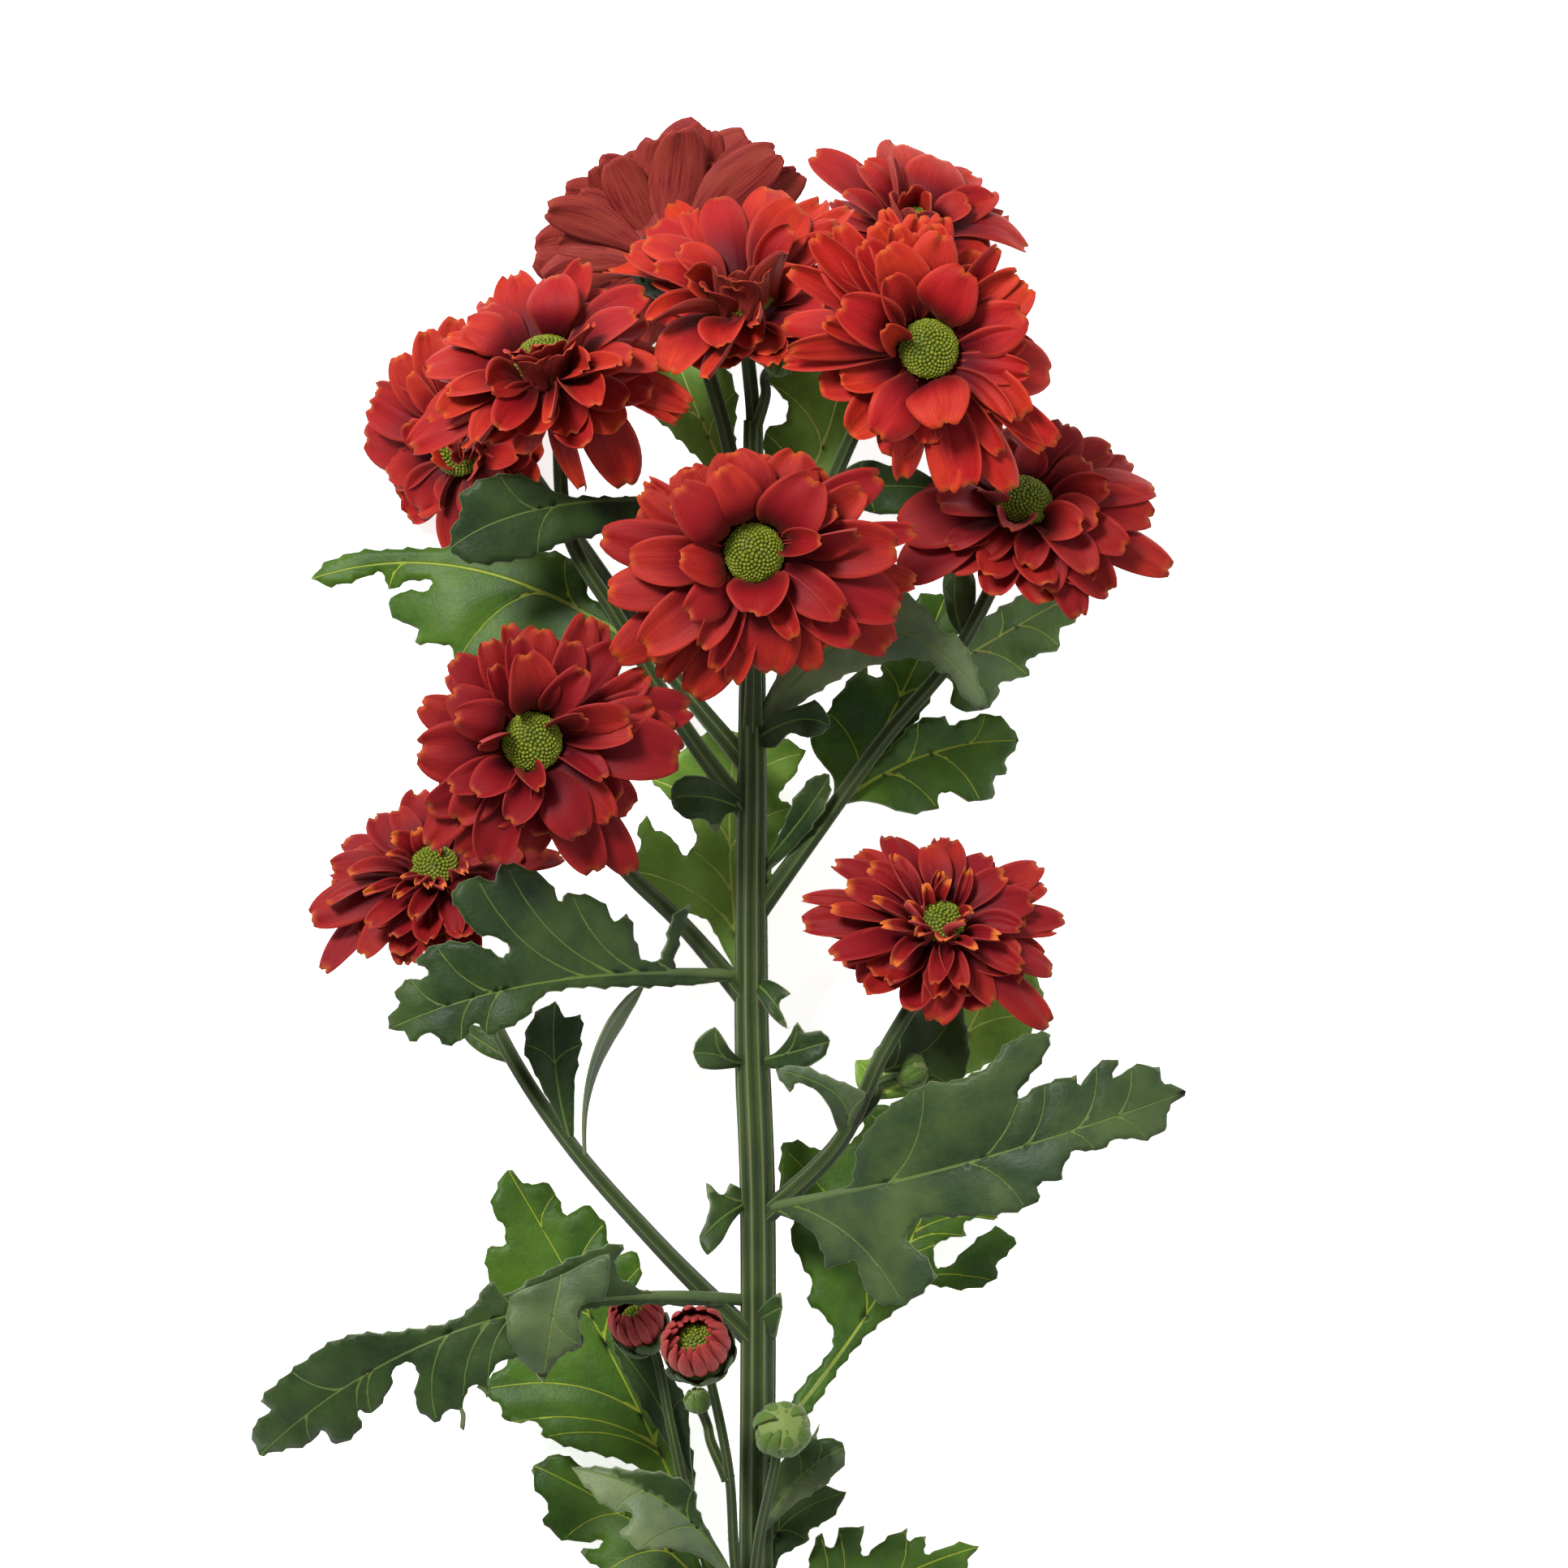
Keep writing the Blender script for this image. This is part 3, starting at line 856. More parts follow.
# The petals of each open bloom that show from above. Each row is the tip, as x and y from the disc's centre
# and its height over the disc's plane, then the width, arch and roll in degrees, and the cup in radians.
PETALS = {
    "front_right": [
        (-1.5, 21, 4, 9, 1, 0, 0.2), (-3.5, 17.5, 7, 8, 1, 10, 0.4), (0.5, 19.5, 6, 8, 1, -10, 0.2),
        (-10.5, 16.5, 6, 8, 1, 0, 0.4), (-16.5, 15, 3, 8, 1, 0, 0.3), (-7, 22, 2, 5, 1, 0, 0.3),
        (2.5, 21, 4, 7, 1, 10, -0.2), (-8.5, 19.5, 6, 8, 1, 0, 0.5), (-14, 19.5, 4, 7, 1, -10, 0.8),
        (-5.5, 19, 8, 7, 1, 0, 0.3), (2, 18, 8, 10, 2, 5, -0.2), (-18, 17.5, 5, 8, 1, 0, 0.9),
        (-22, 12.5, 2, 6, 1, -35, 0.3), (-23, 4, -3, 6.5, 2.5, -15, -0.4),
        (-22, -0.5, 2, 6, 1.5, -25, 0.2), (-23, -2, -2, 6, 1, 10, 0.2), (-4, -20.5, -5, 7, 1, -30, 0.2),
        (3, -22.5, -3, 8, 1, 10, -0.2), (6.5, -21.5, -2, 8, 1, 20, 0.3), (13.5, -22, -3, 8, 1, 10, -0.3),
        (11.5, -16.5, 0, 5, 1, 40, 0.5), (18, -16, -2, 4.5, 1, 0, 0.5), (20.5, -14.5, -2, 6, 1, 10, 0.3),
        (19.5, -3.5, -4, 11, 2, 0, -0.2), (16, 10, 2, 8, 1, 0, 0.2), (14, 12, 3, 6, 1, 20, 0.5),
        (11, 16, 4, 6, 1, 30, 0.5), (15, 5.5, 5, 10, 1.5, 10, -0.1), (15, 2, 4, 8, 1, 30, -0.2),
        (16, -3.5, 3, 6, 1, 25, 0.2), (15.5, -10.5, 2, 7.5, 1, 15, 0.3), (13.5, -11.5, 5, 4.5, 1, 40, 0.3),
        (-7, 15.5, 9, 10, 1.5, 0, 0.25), (-8, -14, 3, 11, 2, -10, -0.3), (-16.5, 4, 6, 5, 1, -40, 0.4),
        (6, 12, 9, 11.5, 2.5, 0, -0.3), (2.5, -12.5, 7, 12, 2.5, 0, -0.15), (-14, 6.5, 9, 10, 2, 0, 0.45),
        (-6.5, 11, 9, 9, 1, 10, 0.3), (-7, 3, 9, 6, 1, -40, 0.5),
    ],
    "upper_left": [
        (-2.5, 1.5, 9, 8.5, 1, 0, 0.4), (0.5, 2, 9, 8.5, 1, 0, 0.3), (-5, 0.5, 9, 8, 1, 0, 0.4),
        (-1, -0.5, 9, 7, 1, 10, 0.4), (3.5, 1, 9, 8, 1, 10, 0.4), (-5.5, 14.5, 2, 9, 1, 0, -0.2),
        (1, 14, 6, 10.5, 2.5, 0, -0.35), (6, 16.5, 1, 6, 1, 20, 0.2), (16, 11, 2, 7.5, 1, 10, 0.1),
        (14.5, 7.5, 5, 8.5, 1.5, 0, 0.2), (18, -1, 1, 7, 1, 0, 0.3), (14, 0.5, 6, 9, 1.5, 0, -0.2),
        (23, -7, -8, 7, 1, 10, -0.3), (21, -9.5, -9, 6, 1, -10, 0.2), (13, -19.5, -15, 10, 1.5, 0, -0.2),
        (6, -20, -15, 6.5, 1, 40, 0.3), (-9, 9.5, 3, 9, 1.5, 0, -0.3), (-13, 6, 4, 10, 2, 0, -0.4),
        (-15.5, 4, 3, 7, 1, 15, -0.3), (-19, -1, 1, 10, 1.5, 0, -0.2), (-21.5, -13.5, -5, 9, 1.5, 0, -0.1),
        (-15.5, -5, 4, 6.5, 1, 10, 0.3), (-16.5, -8.5, 2, 6.5, 1, -20, 0.4), (-13, -14, -5, 5, 1, 30, 0.3),
        (-10.5, -13, 0, 7.5, 1, 20, 0.5), (-7, -11, 4, 7, 1, -30, 0.2), (-8.5, -4.5, 8, 8, 1, -40, 0.3),
        (1, -10, 6, 5, 1, 40, 0.4), (8.5, -7.5, 6, 9.5, 1, 0, 0.9), (12, -1, 8, 7, 1, 10, 0.7),
        (7.5, 5.5, 9, 7, 1, -30, 0.3), (7, -1.5, 8, 7, 1, 20, 0.6), (-18.5, -9.5, -3, 9, 1, 0, 0.2),
    ],
    "top_centre": [
        (-3.5, 3.5, 8, 9, 1, 0, 0.5), (0, 4.5, 8, 9, 1, 0, 0.4), (3, 3, 8, 8, 1, 0, 0.5),
        (-6.5, 1.5, 7, 8, 1, 0, 0.4), (-1.5, 1.5, 7, 8, 1, 10, 0.4), (-18.5, 9, 2, 9, 1, 0, 0.1),
        (-14.5, 13, 3, 9, 1, 0, 0.1), (-10.5, 8.5, 5, 8, 1, 0, 0.4), (-12, 16.5, 2, 6.5, 1, 0, 0.1),
        (-16, 10, 4, 9, 1.5, 0, -0.1), (-9.5, 15, 4, 6.5, 1, 10, -0.5), (-7.5, 15.5, 4, 6.5, 1, 10, -0.5),
        (-4, 17.5, 5, 10, 2, 0, -0.5), (4, 19, 4, 11.5, 2, -5, -0.3), (9, 15.5, 6, 10.5, 1.5, 10, 0.1),
        (7.5, 11.5, 8, 6, 1, 40, 0.4), (12.5, 17, 1, 7.5, 1, 0, 0.2), (17, 15.5, 2, 5.5, 1, 0, 0.2),
        (15, 13, 3, 7, 1, 10, -0.2), (14, 10.5, 3, 5, 1, 40, 0.3), (-22, 5.5, -6, 7, 1.5, 0, 0.2),
        (-14.5, 5, 5, 6, 1, -20, 0.4), (-15, -4, 4, 8.5, 1.5, 0, 1.2), (-9, 3, 8, 8, 1, -40, 0.4),
        (2, -4.5, 7, 5, 1, 40, 0.2), (-1, 2.5, 9, 7, 1, -20, 0.5), (2, -7.5, 0, 7.5, 1, 20, 0.4),
        (6.5, 7.5, 9, 10, 1, -40, 0.4), (-12, -12, -2, 10, 1.5, 0, 0.2), (-6, -13, -1, 8, 1, 30, 0.3),
        (-13.5, -10, -6, 7, 1, -20, 0.2), (-3.5, -8, 3, 9, 1, 0, 0.5), (9, 5, 3, 8, 1, 20, 0.2),
    ],
    "top_back_left": [
        (6.5, 21.5, 3, 14, 1.5, 0, 0.15), (14, 19.5, 2, 13, 1.5, 0, 0.2), (22, 14, 1, 10, 1, 0, 0.1),
        (-1, 19.5, 3, 11.5, 1.5, 10, 0.25), (-6.5, 17, 5, 11, 1, 10, 0.2),
        (-11, 15, 2, 10.5, 1.5, 10, 0.2), (-16.5, 10.5, 4, 11.5, 1.5, 10, 0.2),
        (-19, 7.5, 0, 8, 1, 0, 0.1), (-21, 1, 3, 14, 1.5, 10, 0.2), (-19.5, -3.5, 1, 9, 1, 0, 0.15),
        (3, 20.5, -1, 10.5, 1, 0, 0.1), (18.5, 17, -1, 10.5, 1, 0, 0.1),
    ],
    "top_back_right": [
        (-1, 6.5, 7, 9, 1, 0, 0.4), (2.5, 5.5, 7, 9, 1, 0, 0.3), (-4, 5.5, 7, 8, 1, 0, 0.4),
        (0.5, 2.5, 8, 8, 1, 0, 0.4), (-16.5, 13, 1, 7.5, 1, -20, 0.2), (-8.5, 11.5, 4, 9, 1.5, 0, -0.1),
        (-2, 15, 2, 11.5, 1.5, 0, 0.2), (-4, 12.5, 6, 6, 1, 40, 0.3), (4.5, 12.5, 4, 13, 2, 5, -0.3),
        (10, 10, 1, 9, 1, 0, 0.2), (12.5, 7, 2, 8.5, 1, 0, -0.1), (9, 4.5, 4, 7, 1, 10, 0.4),
        (13, 5, 2, 7, 1, 40, 0.3), (18.5, -2.5, -3, 8, 2.5, 0, -0.3), (-11.5, 6, 4, 6, 1, 0, 0.3),
        (15, 3, -1, 7, 1, 0, 0.1),
    ],
    "centre": [
        (-3.5, 16, 1, 13, 2, 0, 0.1), (7, 16, -2, 11, 1, 0, -0.2), (-17, 11.5, -3, 4.5, 1, 0, 0.2),
        (-18, 9.5, -2, 6, 1, 0, -0.2), (-10.5, 13.5, 0, 9, 1, 0, -0.1), (-5.5, 13, 7, 10, 3, 0, -0.3),
        (9.5, 11.5, 7, 12, 3, 0, 0.2), (17, 10, 2, 8.5, 1.5, 20, 0.3), (20, 12, -2, 8, 1, 0, 0.2),
        (-12, 10, 8, 11, 3.5, 0, -0.45), (-11.5, -1, 9, 9.5, 2, 25, -0.3),
        (-10.5, -10, 8, 9, 2, -15, -0.4), (-24, 2.5, 0, 9.5, 1.5, 0, -0.2), (-19.5, -1, 3, 9.5, 2, 0, 0.4),
        (-23, -6, 1, 9.5, 1.5, 0, -0.2), (-22, -16.5, -1, 9.5, 1, 0, -0.2),
        (-17.5, -15, 4, 9.5, 1.5, 10, 0.3), (-16, -17.5, 1, 7, 1, -20, -0.2),
        (-14.5, -20, -4, 6.5, 1, 0, 0.2), (-10, -22.5, -3, 10, 1, 0, -0.2),
        (-8.5, -15, 6, 6.5, 1, -30, 0.8), (-6.5, -18.5, 2, 5, 1, 30, 0.5), (-3.5, -20.5, 0, 6, 1, 0, 0.6),
        (0, -10, 8, 12, 1.5, 0, 0.3), (6.5, -13.5, 7, 6.5, 1, 0, 0.9), (2.5, -19, 0, 12, 2.5, 0, -0.2),
        (9.5, -18.5, 1, 8, 2, 20, -0.2), (14, -9.5, 6, 8.5, 2, 0, 0.3), (16, -14, 3, 8, 1, -10, 0.3),
        (12.5, -11, 5, 4.5, 1, 40, 0.2), (23, -9, 0, 11, 2, 0, 0.1), (21.5, -15, -3, 10.5, 1, 0, -0.1),
        (10.5, 1.5, 9, 7, 1, -15, 0.8), (16.5, 3, 7, 7.5, 1, 40, 0.5), (22.5, 0.5, 3, 11, 1.5, 0, 0.4),
        (25.5, 3.5, -2, 5.5, 1, 0, 0.2), (25.5, -4.5, -3, 6.5, 1, 0, 0.2), (13, 6.5, 6, 6.5, 1, -40, 0.3),
    ],
    "middle_left": [
        (1.5, 18, 0, 9.5, 1, 0, -0.1), (6.5, 16, 2, 7, 1, 30, 0.3), (8.5, 20, -3, 8, 1, 0, 0.1),
        (11, 19, -4, 7, 1, 0, 0.1), (-4, 18.5, -1, 5.5, 1, 0, 0.2), (-7, 16, 2, 7.5, 1, 0, -0.1),
        (-2.5, 16.5, 4, 6.5, 1, 10, 0.3), (-1, 14, 8, 10, 2.5, 0, 0.2), (8.5, 11.5, 7, 7, 2, 0, 0.5),
        (13.5, 15, 0, 8.5, 1, 0, -0.1), (18, 11, 1, 7, 1, 10, 0.3), (25, 5.5, -1, 9.5, 1.5, 0, 0.2),
        (19, 6, 4, 7.5, 1.5, 10, -0.1), (22.5, 2, 2, 8.5, 1, 0, 0.1), (23.5, -2.5, 2, 12, 2, 0, 0.3),
        (15.5, 4, 7, 7, 2, 20, 0.1), (16, 1.5, 7, 6, 1, -30, 0.1), (8.5, 4, 9, 7, 1, 40, 0.4),
        (11.5, -6, 6, 6, 1, -30, 0.5), (15.5, -21, -4, 8, 1.5, 0, -0.2), (12.5, -12.5, 3, 7.5, 1, 0, -0.1),
        (10, -20.5, -2, 9, 1, 0, 0.2), (8, -15, 4, 10, 2, 0, -0.2), (1.5, -7.5, 9, 6, 1, 20, 0.8),
        (-3.5, -12.5, 6, 8, 1, 0, 0.7), (-2, -13.5, 3, 5, 1, 40, 0.2), (-6.5, -19, -1, 10.5, 1, 0, 0.9),
        (-11.5, -18, -3, 7, 1, 0, 0.1), (-16.5, -16.5, -3, 7.5, 1, 20, 0.1),
        (-9, -8, 6, 7.5, 1.5, 10, 0.2), (-13, -7, 4, 6.5, 1, 10, 0.2), (-12, -12.5, 1, 8, 1, 10, 0.1),
        (-16.5, -10.5, 0, 8, 1, -20, 0.2), (-18, -1.5, 1, 12, 1.5, 0, -0.1), (-17.5, 6, 0, 8, 1, 0, -0.1),
        (-12, 3.5, 7, 9, 2.5, 0, -0.35), (-12.5, 8, 3, 9, 2, 10, -0.3), (-12.5, 13, 1, 7.5, 1, 10, -0.1),
        (-13.5, 10.5, -2, 6, 1, 0, 0.1), (-6, 12, 4, 6, 1, 20, 0.3), (-8, -0.5, 8, 5, 1, -40, 0.4),
    ],
    "right": [
        (7.5, 13, 3, 9.5, 1, 0, 0.3), (10.5, 7, 3, 6.5, 1, 20, 0.3), (14.5, 9, 0, 7.5, 1, 20, 0.2),
        (17.5, 7, -1, 7, 1, 0, 0.2), (21.5, 2.5, 0, 9.5, 1.5, 0, -0.1), (21, -2.5, -1, 9, 1.5, 10, 0.1),
        (24, -10.5, -4, 9, 1, 0, -0.2), (14, 2.5, 5, 7, 1, 40, 0.3), (12, -2.5, 6, 8.5, 1, 40, 0.3),
        (16.5, -7.5, 2, 7.5, 1.5, 10, 0.2), (14, -14.5, -4, 9, 1, 0, 0.3),
        (10.5, -11.5, 2, 8.5, 1.5, 0, 0.3), (9, -18.5, -7, 7.5, 1.5, 0, -0.2), (9.5, -4, 7, 8, 1, 40, 0.4),
        (4, -14.5, -3, 8, 1, 0, 0.1), (-2.5, -4.5, 6, 9, 1, 0, 0.8), (-12, -7, -1, 6.5, 1, 30, 0.2),
        (-13.5, -0.5, 4, 8.5, 1.5, 0, 0.1), (-19.5, -4.5, -3, 12, 1.5, 0, 0.1),
        (-19, -12, -7, 11, 1, 0, 0.1), (-7.5, 2, 4, 7, 1, 40, 0.3), (2, 9, 3, 7, 1, 30, 0.4),
        (4.5, 11, 1, 8, 1, 0, 0.2), (0.5, -10.5, 0, 7, 1, 20, 0.5), (-6.5, -9, -2, 7, 1, 0, 0.2),
        (-3, 7.5, 1, 8, 1, 0, 0.2),
    ],
    "lower_right": [
        (2, 13.5, 1, 7, 1, 0, 0.1), (-2, 12.5, 2, 6, 1, 0, 0.1), (0, 13.5, -1, 5.5, 1, 0, 0.1),
        (-8, 14, 0, 8, 1.5, 0, -0.1), (-13, 11.5, -1, 6, 1, 0, 0.1), (-17, 9.5, 1, 7.5, 1, 0, -0.1),
        (-15, 6, 4, 6, 1, 0, 0.3), (-7.5, 11, 4, 5, 1, 0, 0.6), (-11.5, 9, 4, 5.5, 1, 0, 0.4),
        (-22, 4, -1, 4.5, 1, 0, 0.2), (-22, 0, -1, 8.5, 1.5, 0, -0.1), (-17.5, 2.5, 4, 5, 1, 20, 0.2),
        (-11, 4, 6, 3, 1, 10, 0.7), (-9.5, 0, 6, 3.5, 1, 10, 0.7), (-17.5, -5, 2, 6.5, 1.5, 0, 0.1),
        (-15.5, -5.5, 1, 5.5, 1, -30, 0.2), (-12, -10, -3, 10, 2, 0, -0.1), (-7.5, -6.5, 5, 4, 1, 0, 0.9),
        (-1, -9.5, 3, 5, 1, 20, 0.6), (-1, -15.5, -5, 8.5, 1.5, 0, 0.5), (3.5, -10, 2, 5.5, 1, 0, 0.8),
        (8.5, -12.5, -3, 7, 1, 0, 0.2), (17.5, -16, -8, 8, 1.5, 0, -0.2),
        (18, -7.5, -4, 6.5, 1.5, 0, -0.1), (13, -7, 1, 5.5, 1, 0, 0.4), (18.5, -1, -2, 5.5, 1, 0, 0.1),
        (20, 1, -2, 6, 1, 10, 0.1), (15, 3.5, 2, 7, 1, 10, 0.1), (13, -0.5, 3, 5, 1, 10, 0.3),
        (9.5, -2, 6, 3.5, 1, 10, 0.7), (17, 6, 0, 5, 1, 0, 0.1), (16, 9.5, 0, 7.5, 1, 0, -0.1),
        (10.5, 8, 4, 5.5, 1, 10, 0.3), (7.5, 11, 0, 6.5, 1, 0, 0.1), (4.5, 9, 5, 3, 1, 10, 0.7),
        (1.5, 7.5, 6, 3, 1, 0, 0.9), (0, 8.5, 5, 3, 1, 0, 0.6), (-2.5, 6.5, 6, 3, 1, 0, 0.8),
        (-5.5, 3.5, 6, 2.5, 1, 0, 0.9), (-5, 1, 6, 3, 1, 0, 0.9), (-4, -1.5, 6, 3, 1, 0, 0.9),
        (0, -2.5, 6, 4.5, 1, 0, 0.5), (4, 0.5, 6, 3, 1, 0, 0.9), (5, 2, 6, 3, 1, 0, 0.9),
        (5.5, -4, 6, 3.5, 1, 0, 0.6),
    ],
    "lower_left": [
        (-3, 12.5, 0, 7, 1, 0, 0.1), (-6.5, 9.5, 2, 5.5, 1, 0, 0.1), (-10, 8.5, 1, 7, 1, 0, 0.1),
        (-13, 3, -1, 4, 1, 0, 0.1), (-17, 0, 0, 7.5, 1, 0, -0.1), (-20, -8, -1, 9, 1.5, 0, -0.1),
        (-18, -16.5, -7, 6.5, 1, 0, -0.1), (-17, -5.5, 3, 6, 1, 40, 0.2), (-7, 5, 5, 4.5, 1, 0, 0.4),
        (-3, 6.5, 5, 4, 1, 0, 0.4), (1, 4, 5, 4, 1, 0, 0.4), (-7.5, 2, 6, 3, 1, 0, 0.8),
        (-13.5, -1, 4, 5.5, 1, 10, 0.3), (-11, -4, 6, 3, 1, 0, 0.8), (-6, -4.5, 6, 3, 1, 0, 0.8),
        (-5, -1.5, 6, 3, 1, 0, 0.9), (-11.5, -14, -4, 6, 1, 0, 0.1), (-5, -15.5, -6, 6, 1, 0, 0.1),
        (-3.5, -15, -5, 6, 1, 20, 0.1), (4, -10.5, 0, 5, 1, 0, 0.3), (1.5, -11, -2, 5, 1, 0, 0.3),
        (-2.5, -2.5, 6, 2.5, 1, 0, 0.9), (-0.5, -3, 6, 3, 1, 0, 0.8), (2, -3, 6, 3, 1, 0, 0.8),
        (-3, -8, 4, 5, 1, 0, 0.7), (5.5, -0.5, 6, 3.5, 1, 0, 0.6), (20.5, 2, -6, 7, 1, 0, -0.1),
        (16, -2.5, -7, 7, 1, 0, 0.1), (8.5, 1.5, 4, 5.5, 1, 0, 0.3), (11, -4, -3, 6.5, 1, 0, 0.1),
        (7, -6.5, 0, 5.5, 1, 0, 0.3), (-10.5, -9, 3, 5, 1, 0, 0.5), (3, 9, 0, 7, 1, 0, 0.1),
        (9.5, 7, -2, 7, 1, 0, 0.1),
    ],
    "far_left": [
        (2.5, 0, 9, 8.5, 1, 0, 0.4), (1, -1, 9, 9, 1, 0, 0.3), (0, 1.5, 9, 8, 1, 0, 0.4),
        (-1.5, -0.5, 9, 8, 1, 0, 0.4), (3.5, -2.5, 8, 8, 1, 0, 0.4), (-10, 15, 3, 8, 1, 0, 0.2),
        (-5.5, 19, 2, 8, 1, 0, 0.2), (-0.5, 21, 0, 8, 1, 0, 0.2), (-14, 9.5, 2, 8, 1, 0, 0.1),
        (-15, 7, 2, 8.5, 1, 10, 0.1), (-16, 2, 0, 11, 1, 0, -0.1), (-12.5, -3.5, 0, 10.5, 1, 0, -0.1),
        (-11, -5.5, -1, 8, 1, 0, 0.2), (-6, -10.5, -1, 9.5, 1, 0, 0.2), (-3, -10, 1, 6, 1, 30, 0.3),
        (1, -20, -2, 8.5, 1, 0, 0.1), (12.5, -6, -4, 9.5, 1, 0, 0.1), (6, -7, 0, 9, 1, 0, 0.2),
        (-8, 12, 4, 6, 1, 0, 0.5), (-8.5, 4, 5, 7, 1, 0, 0.4), (-4.5, -1.5, 5, 7, 1, 0, 0.5),
        (4.5, -12, -1, 9, 1, 0, 0.2), (10, -1.5, 2, 8, 1, 0, 0.2),
    ],
}

# How far the petals of a bloom turn from crimson, 0, to orange-red, 1.
WARMTH = {
    "front_right": 1.0, "top_centre": 0.9, "upper_left": 0.7, "top_back_right": 0.55, "top_back_left": 0.8,
    "far_left": 0.6, "right": 0.25, "centre": 0.4, "middle_left": 0.15, "lower_right": 0.2,
    "lower_left": 0.15,
}

# Layers of petals that fill a bloom beneath the drawn ones, outermost first, with angles in degrees.
LAYERS = [
    {"count": 13, "lift": -3, "share": 0.84, "width": 7.6, "root": 3.2, "height": -2.6},
    {"count": 12, "lift": 7, "share": 0.7, "width": 7, "root": 3.3, "height": -2.1},
]
YOUNG_LAYERS = [
    {"count": 15, "lift": 0, "share": 0.84, "width": 6, "root": 2.8, "height": -2.4},
    {"count": 14, "lift": 12, "share": 0.68, "width": 5.6, "root": 2.9, "height": -2.0},
]
BENDS = (0, 7, -6, 14, 22, -13, 32, 44)  # degrees of lift tried, in turn, to bend a petal clear
TRIMS = (1.0, 0.82, 0.66)  # shares of its length tried after that
NUDGES = (0, 1.5, -1.5, 3, -3, 4.5, 6, -5)  # changes of a drawn tip's height tried for the same end
STRETCH = (0.72, 1.3)  # least and most that a petal's length may differ from the usual
DRAWN_WIDTH, DRAWN_ARCH, DRAWN_CUP = 0.88, 1.4, 1.7  # what a drawn petal's row is multiplied by
DRAWN_ROOT, DRAWN_SINK = 3.9, -1.3  # where drawn petals start: out from the axis, and under the disc's plane
ROOT_STEP = 0.2  # how much farther out a petal starts for each millimetre that its tip stands higher
AWAY_LIFT, AWAY_RISE = 14, 2.6  # what the layers of a bloom that looks down are lifted and raised by
TIPPED_FROM, TIPPED_OVER = 3, 5  # in a young bloom, tips higher than the first grow orange over the second

# The closed rings of a half-open bloom: lift in degrees, and length and root as shares of its radius.
CLOSED_RINGS = ((66, 1.0, 0.7), (72, 0.9, 0.62))
RING_COUNT, RING_ROWS = 14, 12
PETAL_VALUES = ("along", "across", "tone", "back", "warmth", "rim", "tipped")


def bloom_size(head):
    """The scale of a bloom's disc and cup."""
    return YOUNG_SCALE if head.get("young") else 1.0


def petal_length(head, form):
    """How long a petal must be for its tip to reach, in plan, as far as the bloom does that way."""
    usual = (BLOOM_RADIUS - form["root"]) * form["share"]
    trial = {**form, "length": usual, "sway": 0.0}
    ends = grown_line(head, trial, np.array((0.0, 0.5, 1.0)))[0]
    right, up, left, down = head["reach"]
    off = ends[-1] - head["at"]
    along = right if off[0] > 0 else left
    beyond = up if off[1] > 0 else down
    wanted = form["share"] / math.hypot(off[0] / along, off[1] / beyond)
    return usual * min(max(wanted, STRETCH[0]), STRETCH[1])


def random_skin(rng):
    """The small differences of a petal's surface and tip."""
    count = rng.integers(1, 4)
    middle = rng.uniform(-0.3, 0.3)
    notches = [(middle + (i - (count - 1) / 2) * 0.34, rng.uniform(0.2, 0.8)) for i in range(count)]
    return {
        "groove": rng.uniform(0.14, 0.42), "crease": rng.uniform(0.1, 1.6), "wave": rng.uniform(0.1, 0.5),
        "ripple": rng.uniform(3, 6), "phase": rng.uniform(0, 6), "teeth": notches,
    }


class Neighbours:
    """Solids already in place, which later blades are bent clear of."""

    def __init__(self):
        self.solids = []

    def add(self, shape, owner=""):
        for points, faces in (block for block, solid in zip(shape.blocks, shape.solid) if solid):
            tree = BVHTree.FromPolygons(points.tolist(), faces.tolist())
            self.solids.append((points.min(0), points.max(0), tree, owner))

    def meet(self, points, faces, owner):
        low, high = points.min(0), points.max(0)
        near = [tree for least, most, tree, other in self.solids
                if other != owner and (least < high).all() and (most > low).all()]
        if not near:
            return False
        tree = BVHTree.FromPolygons(points.tolist(), faces.tolist())
        return any(other.overlap(tree) for other in near)


def first_clear(choices, head, neighbours, draws):
    """The first of some petals, given as line and form, that meets nothing near it, or none."""
    for line, form in choices:
        made = blade(line, form, petal_width, np.random.default_rng(draws))
        if not neighbours.meet(made["points"], made["faces"], head["name"]):
            return made
    return None


def drawn_choices(head, form, shares):
    """A drawn petal, and then the same one with its tip nudged up or down."""
    x, y, height = form["tip"]
    for nudge in NUDGES:
        yield drawn_line(head, {**form, "tip": (x, y, height + nudge)}, shares), form


def grown_choices(head, form, shares):
    """A petal of a layer, and then the same one bent up or down, and then shorter ones."""
    for trim, bend in ((trim, bend) for trim in TRIMS for bend in BENDS):
        choice = {**form, "lift": form["lift"] + bend, "length": form["length"] * trim}
        yield grown_line(head, choice, shares), form


def drawn_petals(head, rng, size):
    """The forms of a bloom's drawn petals. In a young bloom the inner ones are tipped with orange."""
    young = head.get("young", False)
    for x, y, height, width, arch, roll, cup in PETALS[head["name"]]:
        yield {
            **PLAIN, **random_skin(rng), "tip": (x, y, height), "width": width * DRAWN_WIDTH,
            "arch": arch * DRAWN_ARCH, "roll": roll + rng.uniform(-12, 12),
            "cup": cup * DRAWN_CUP + rng.uniform(-0.2, 0.2), "warmth": WARMTH[head["name"]],
            "tipped": max(0.0, height - TIPPED_FROM) / TIPPED_OVER if young else 0.0,
            "root": (DRAWN_ROOT + ROOT_STEP * min(max(height - 2, 0), 5)) * size,
            "height": DRAWN_SINK * size, "sway": rng.uniform(-2.2, 2.2), "twist": rng.uniform(-26, 26),
        }


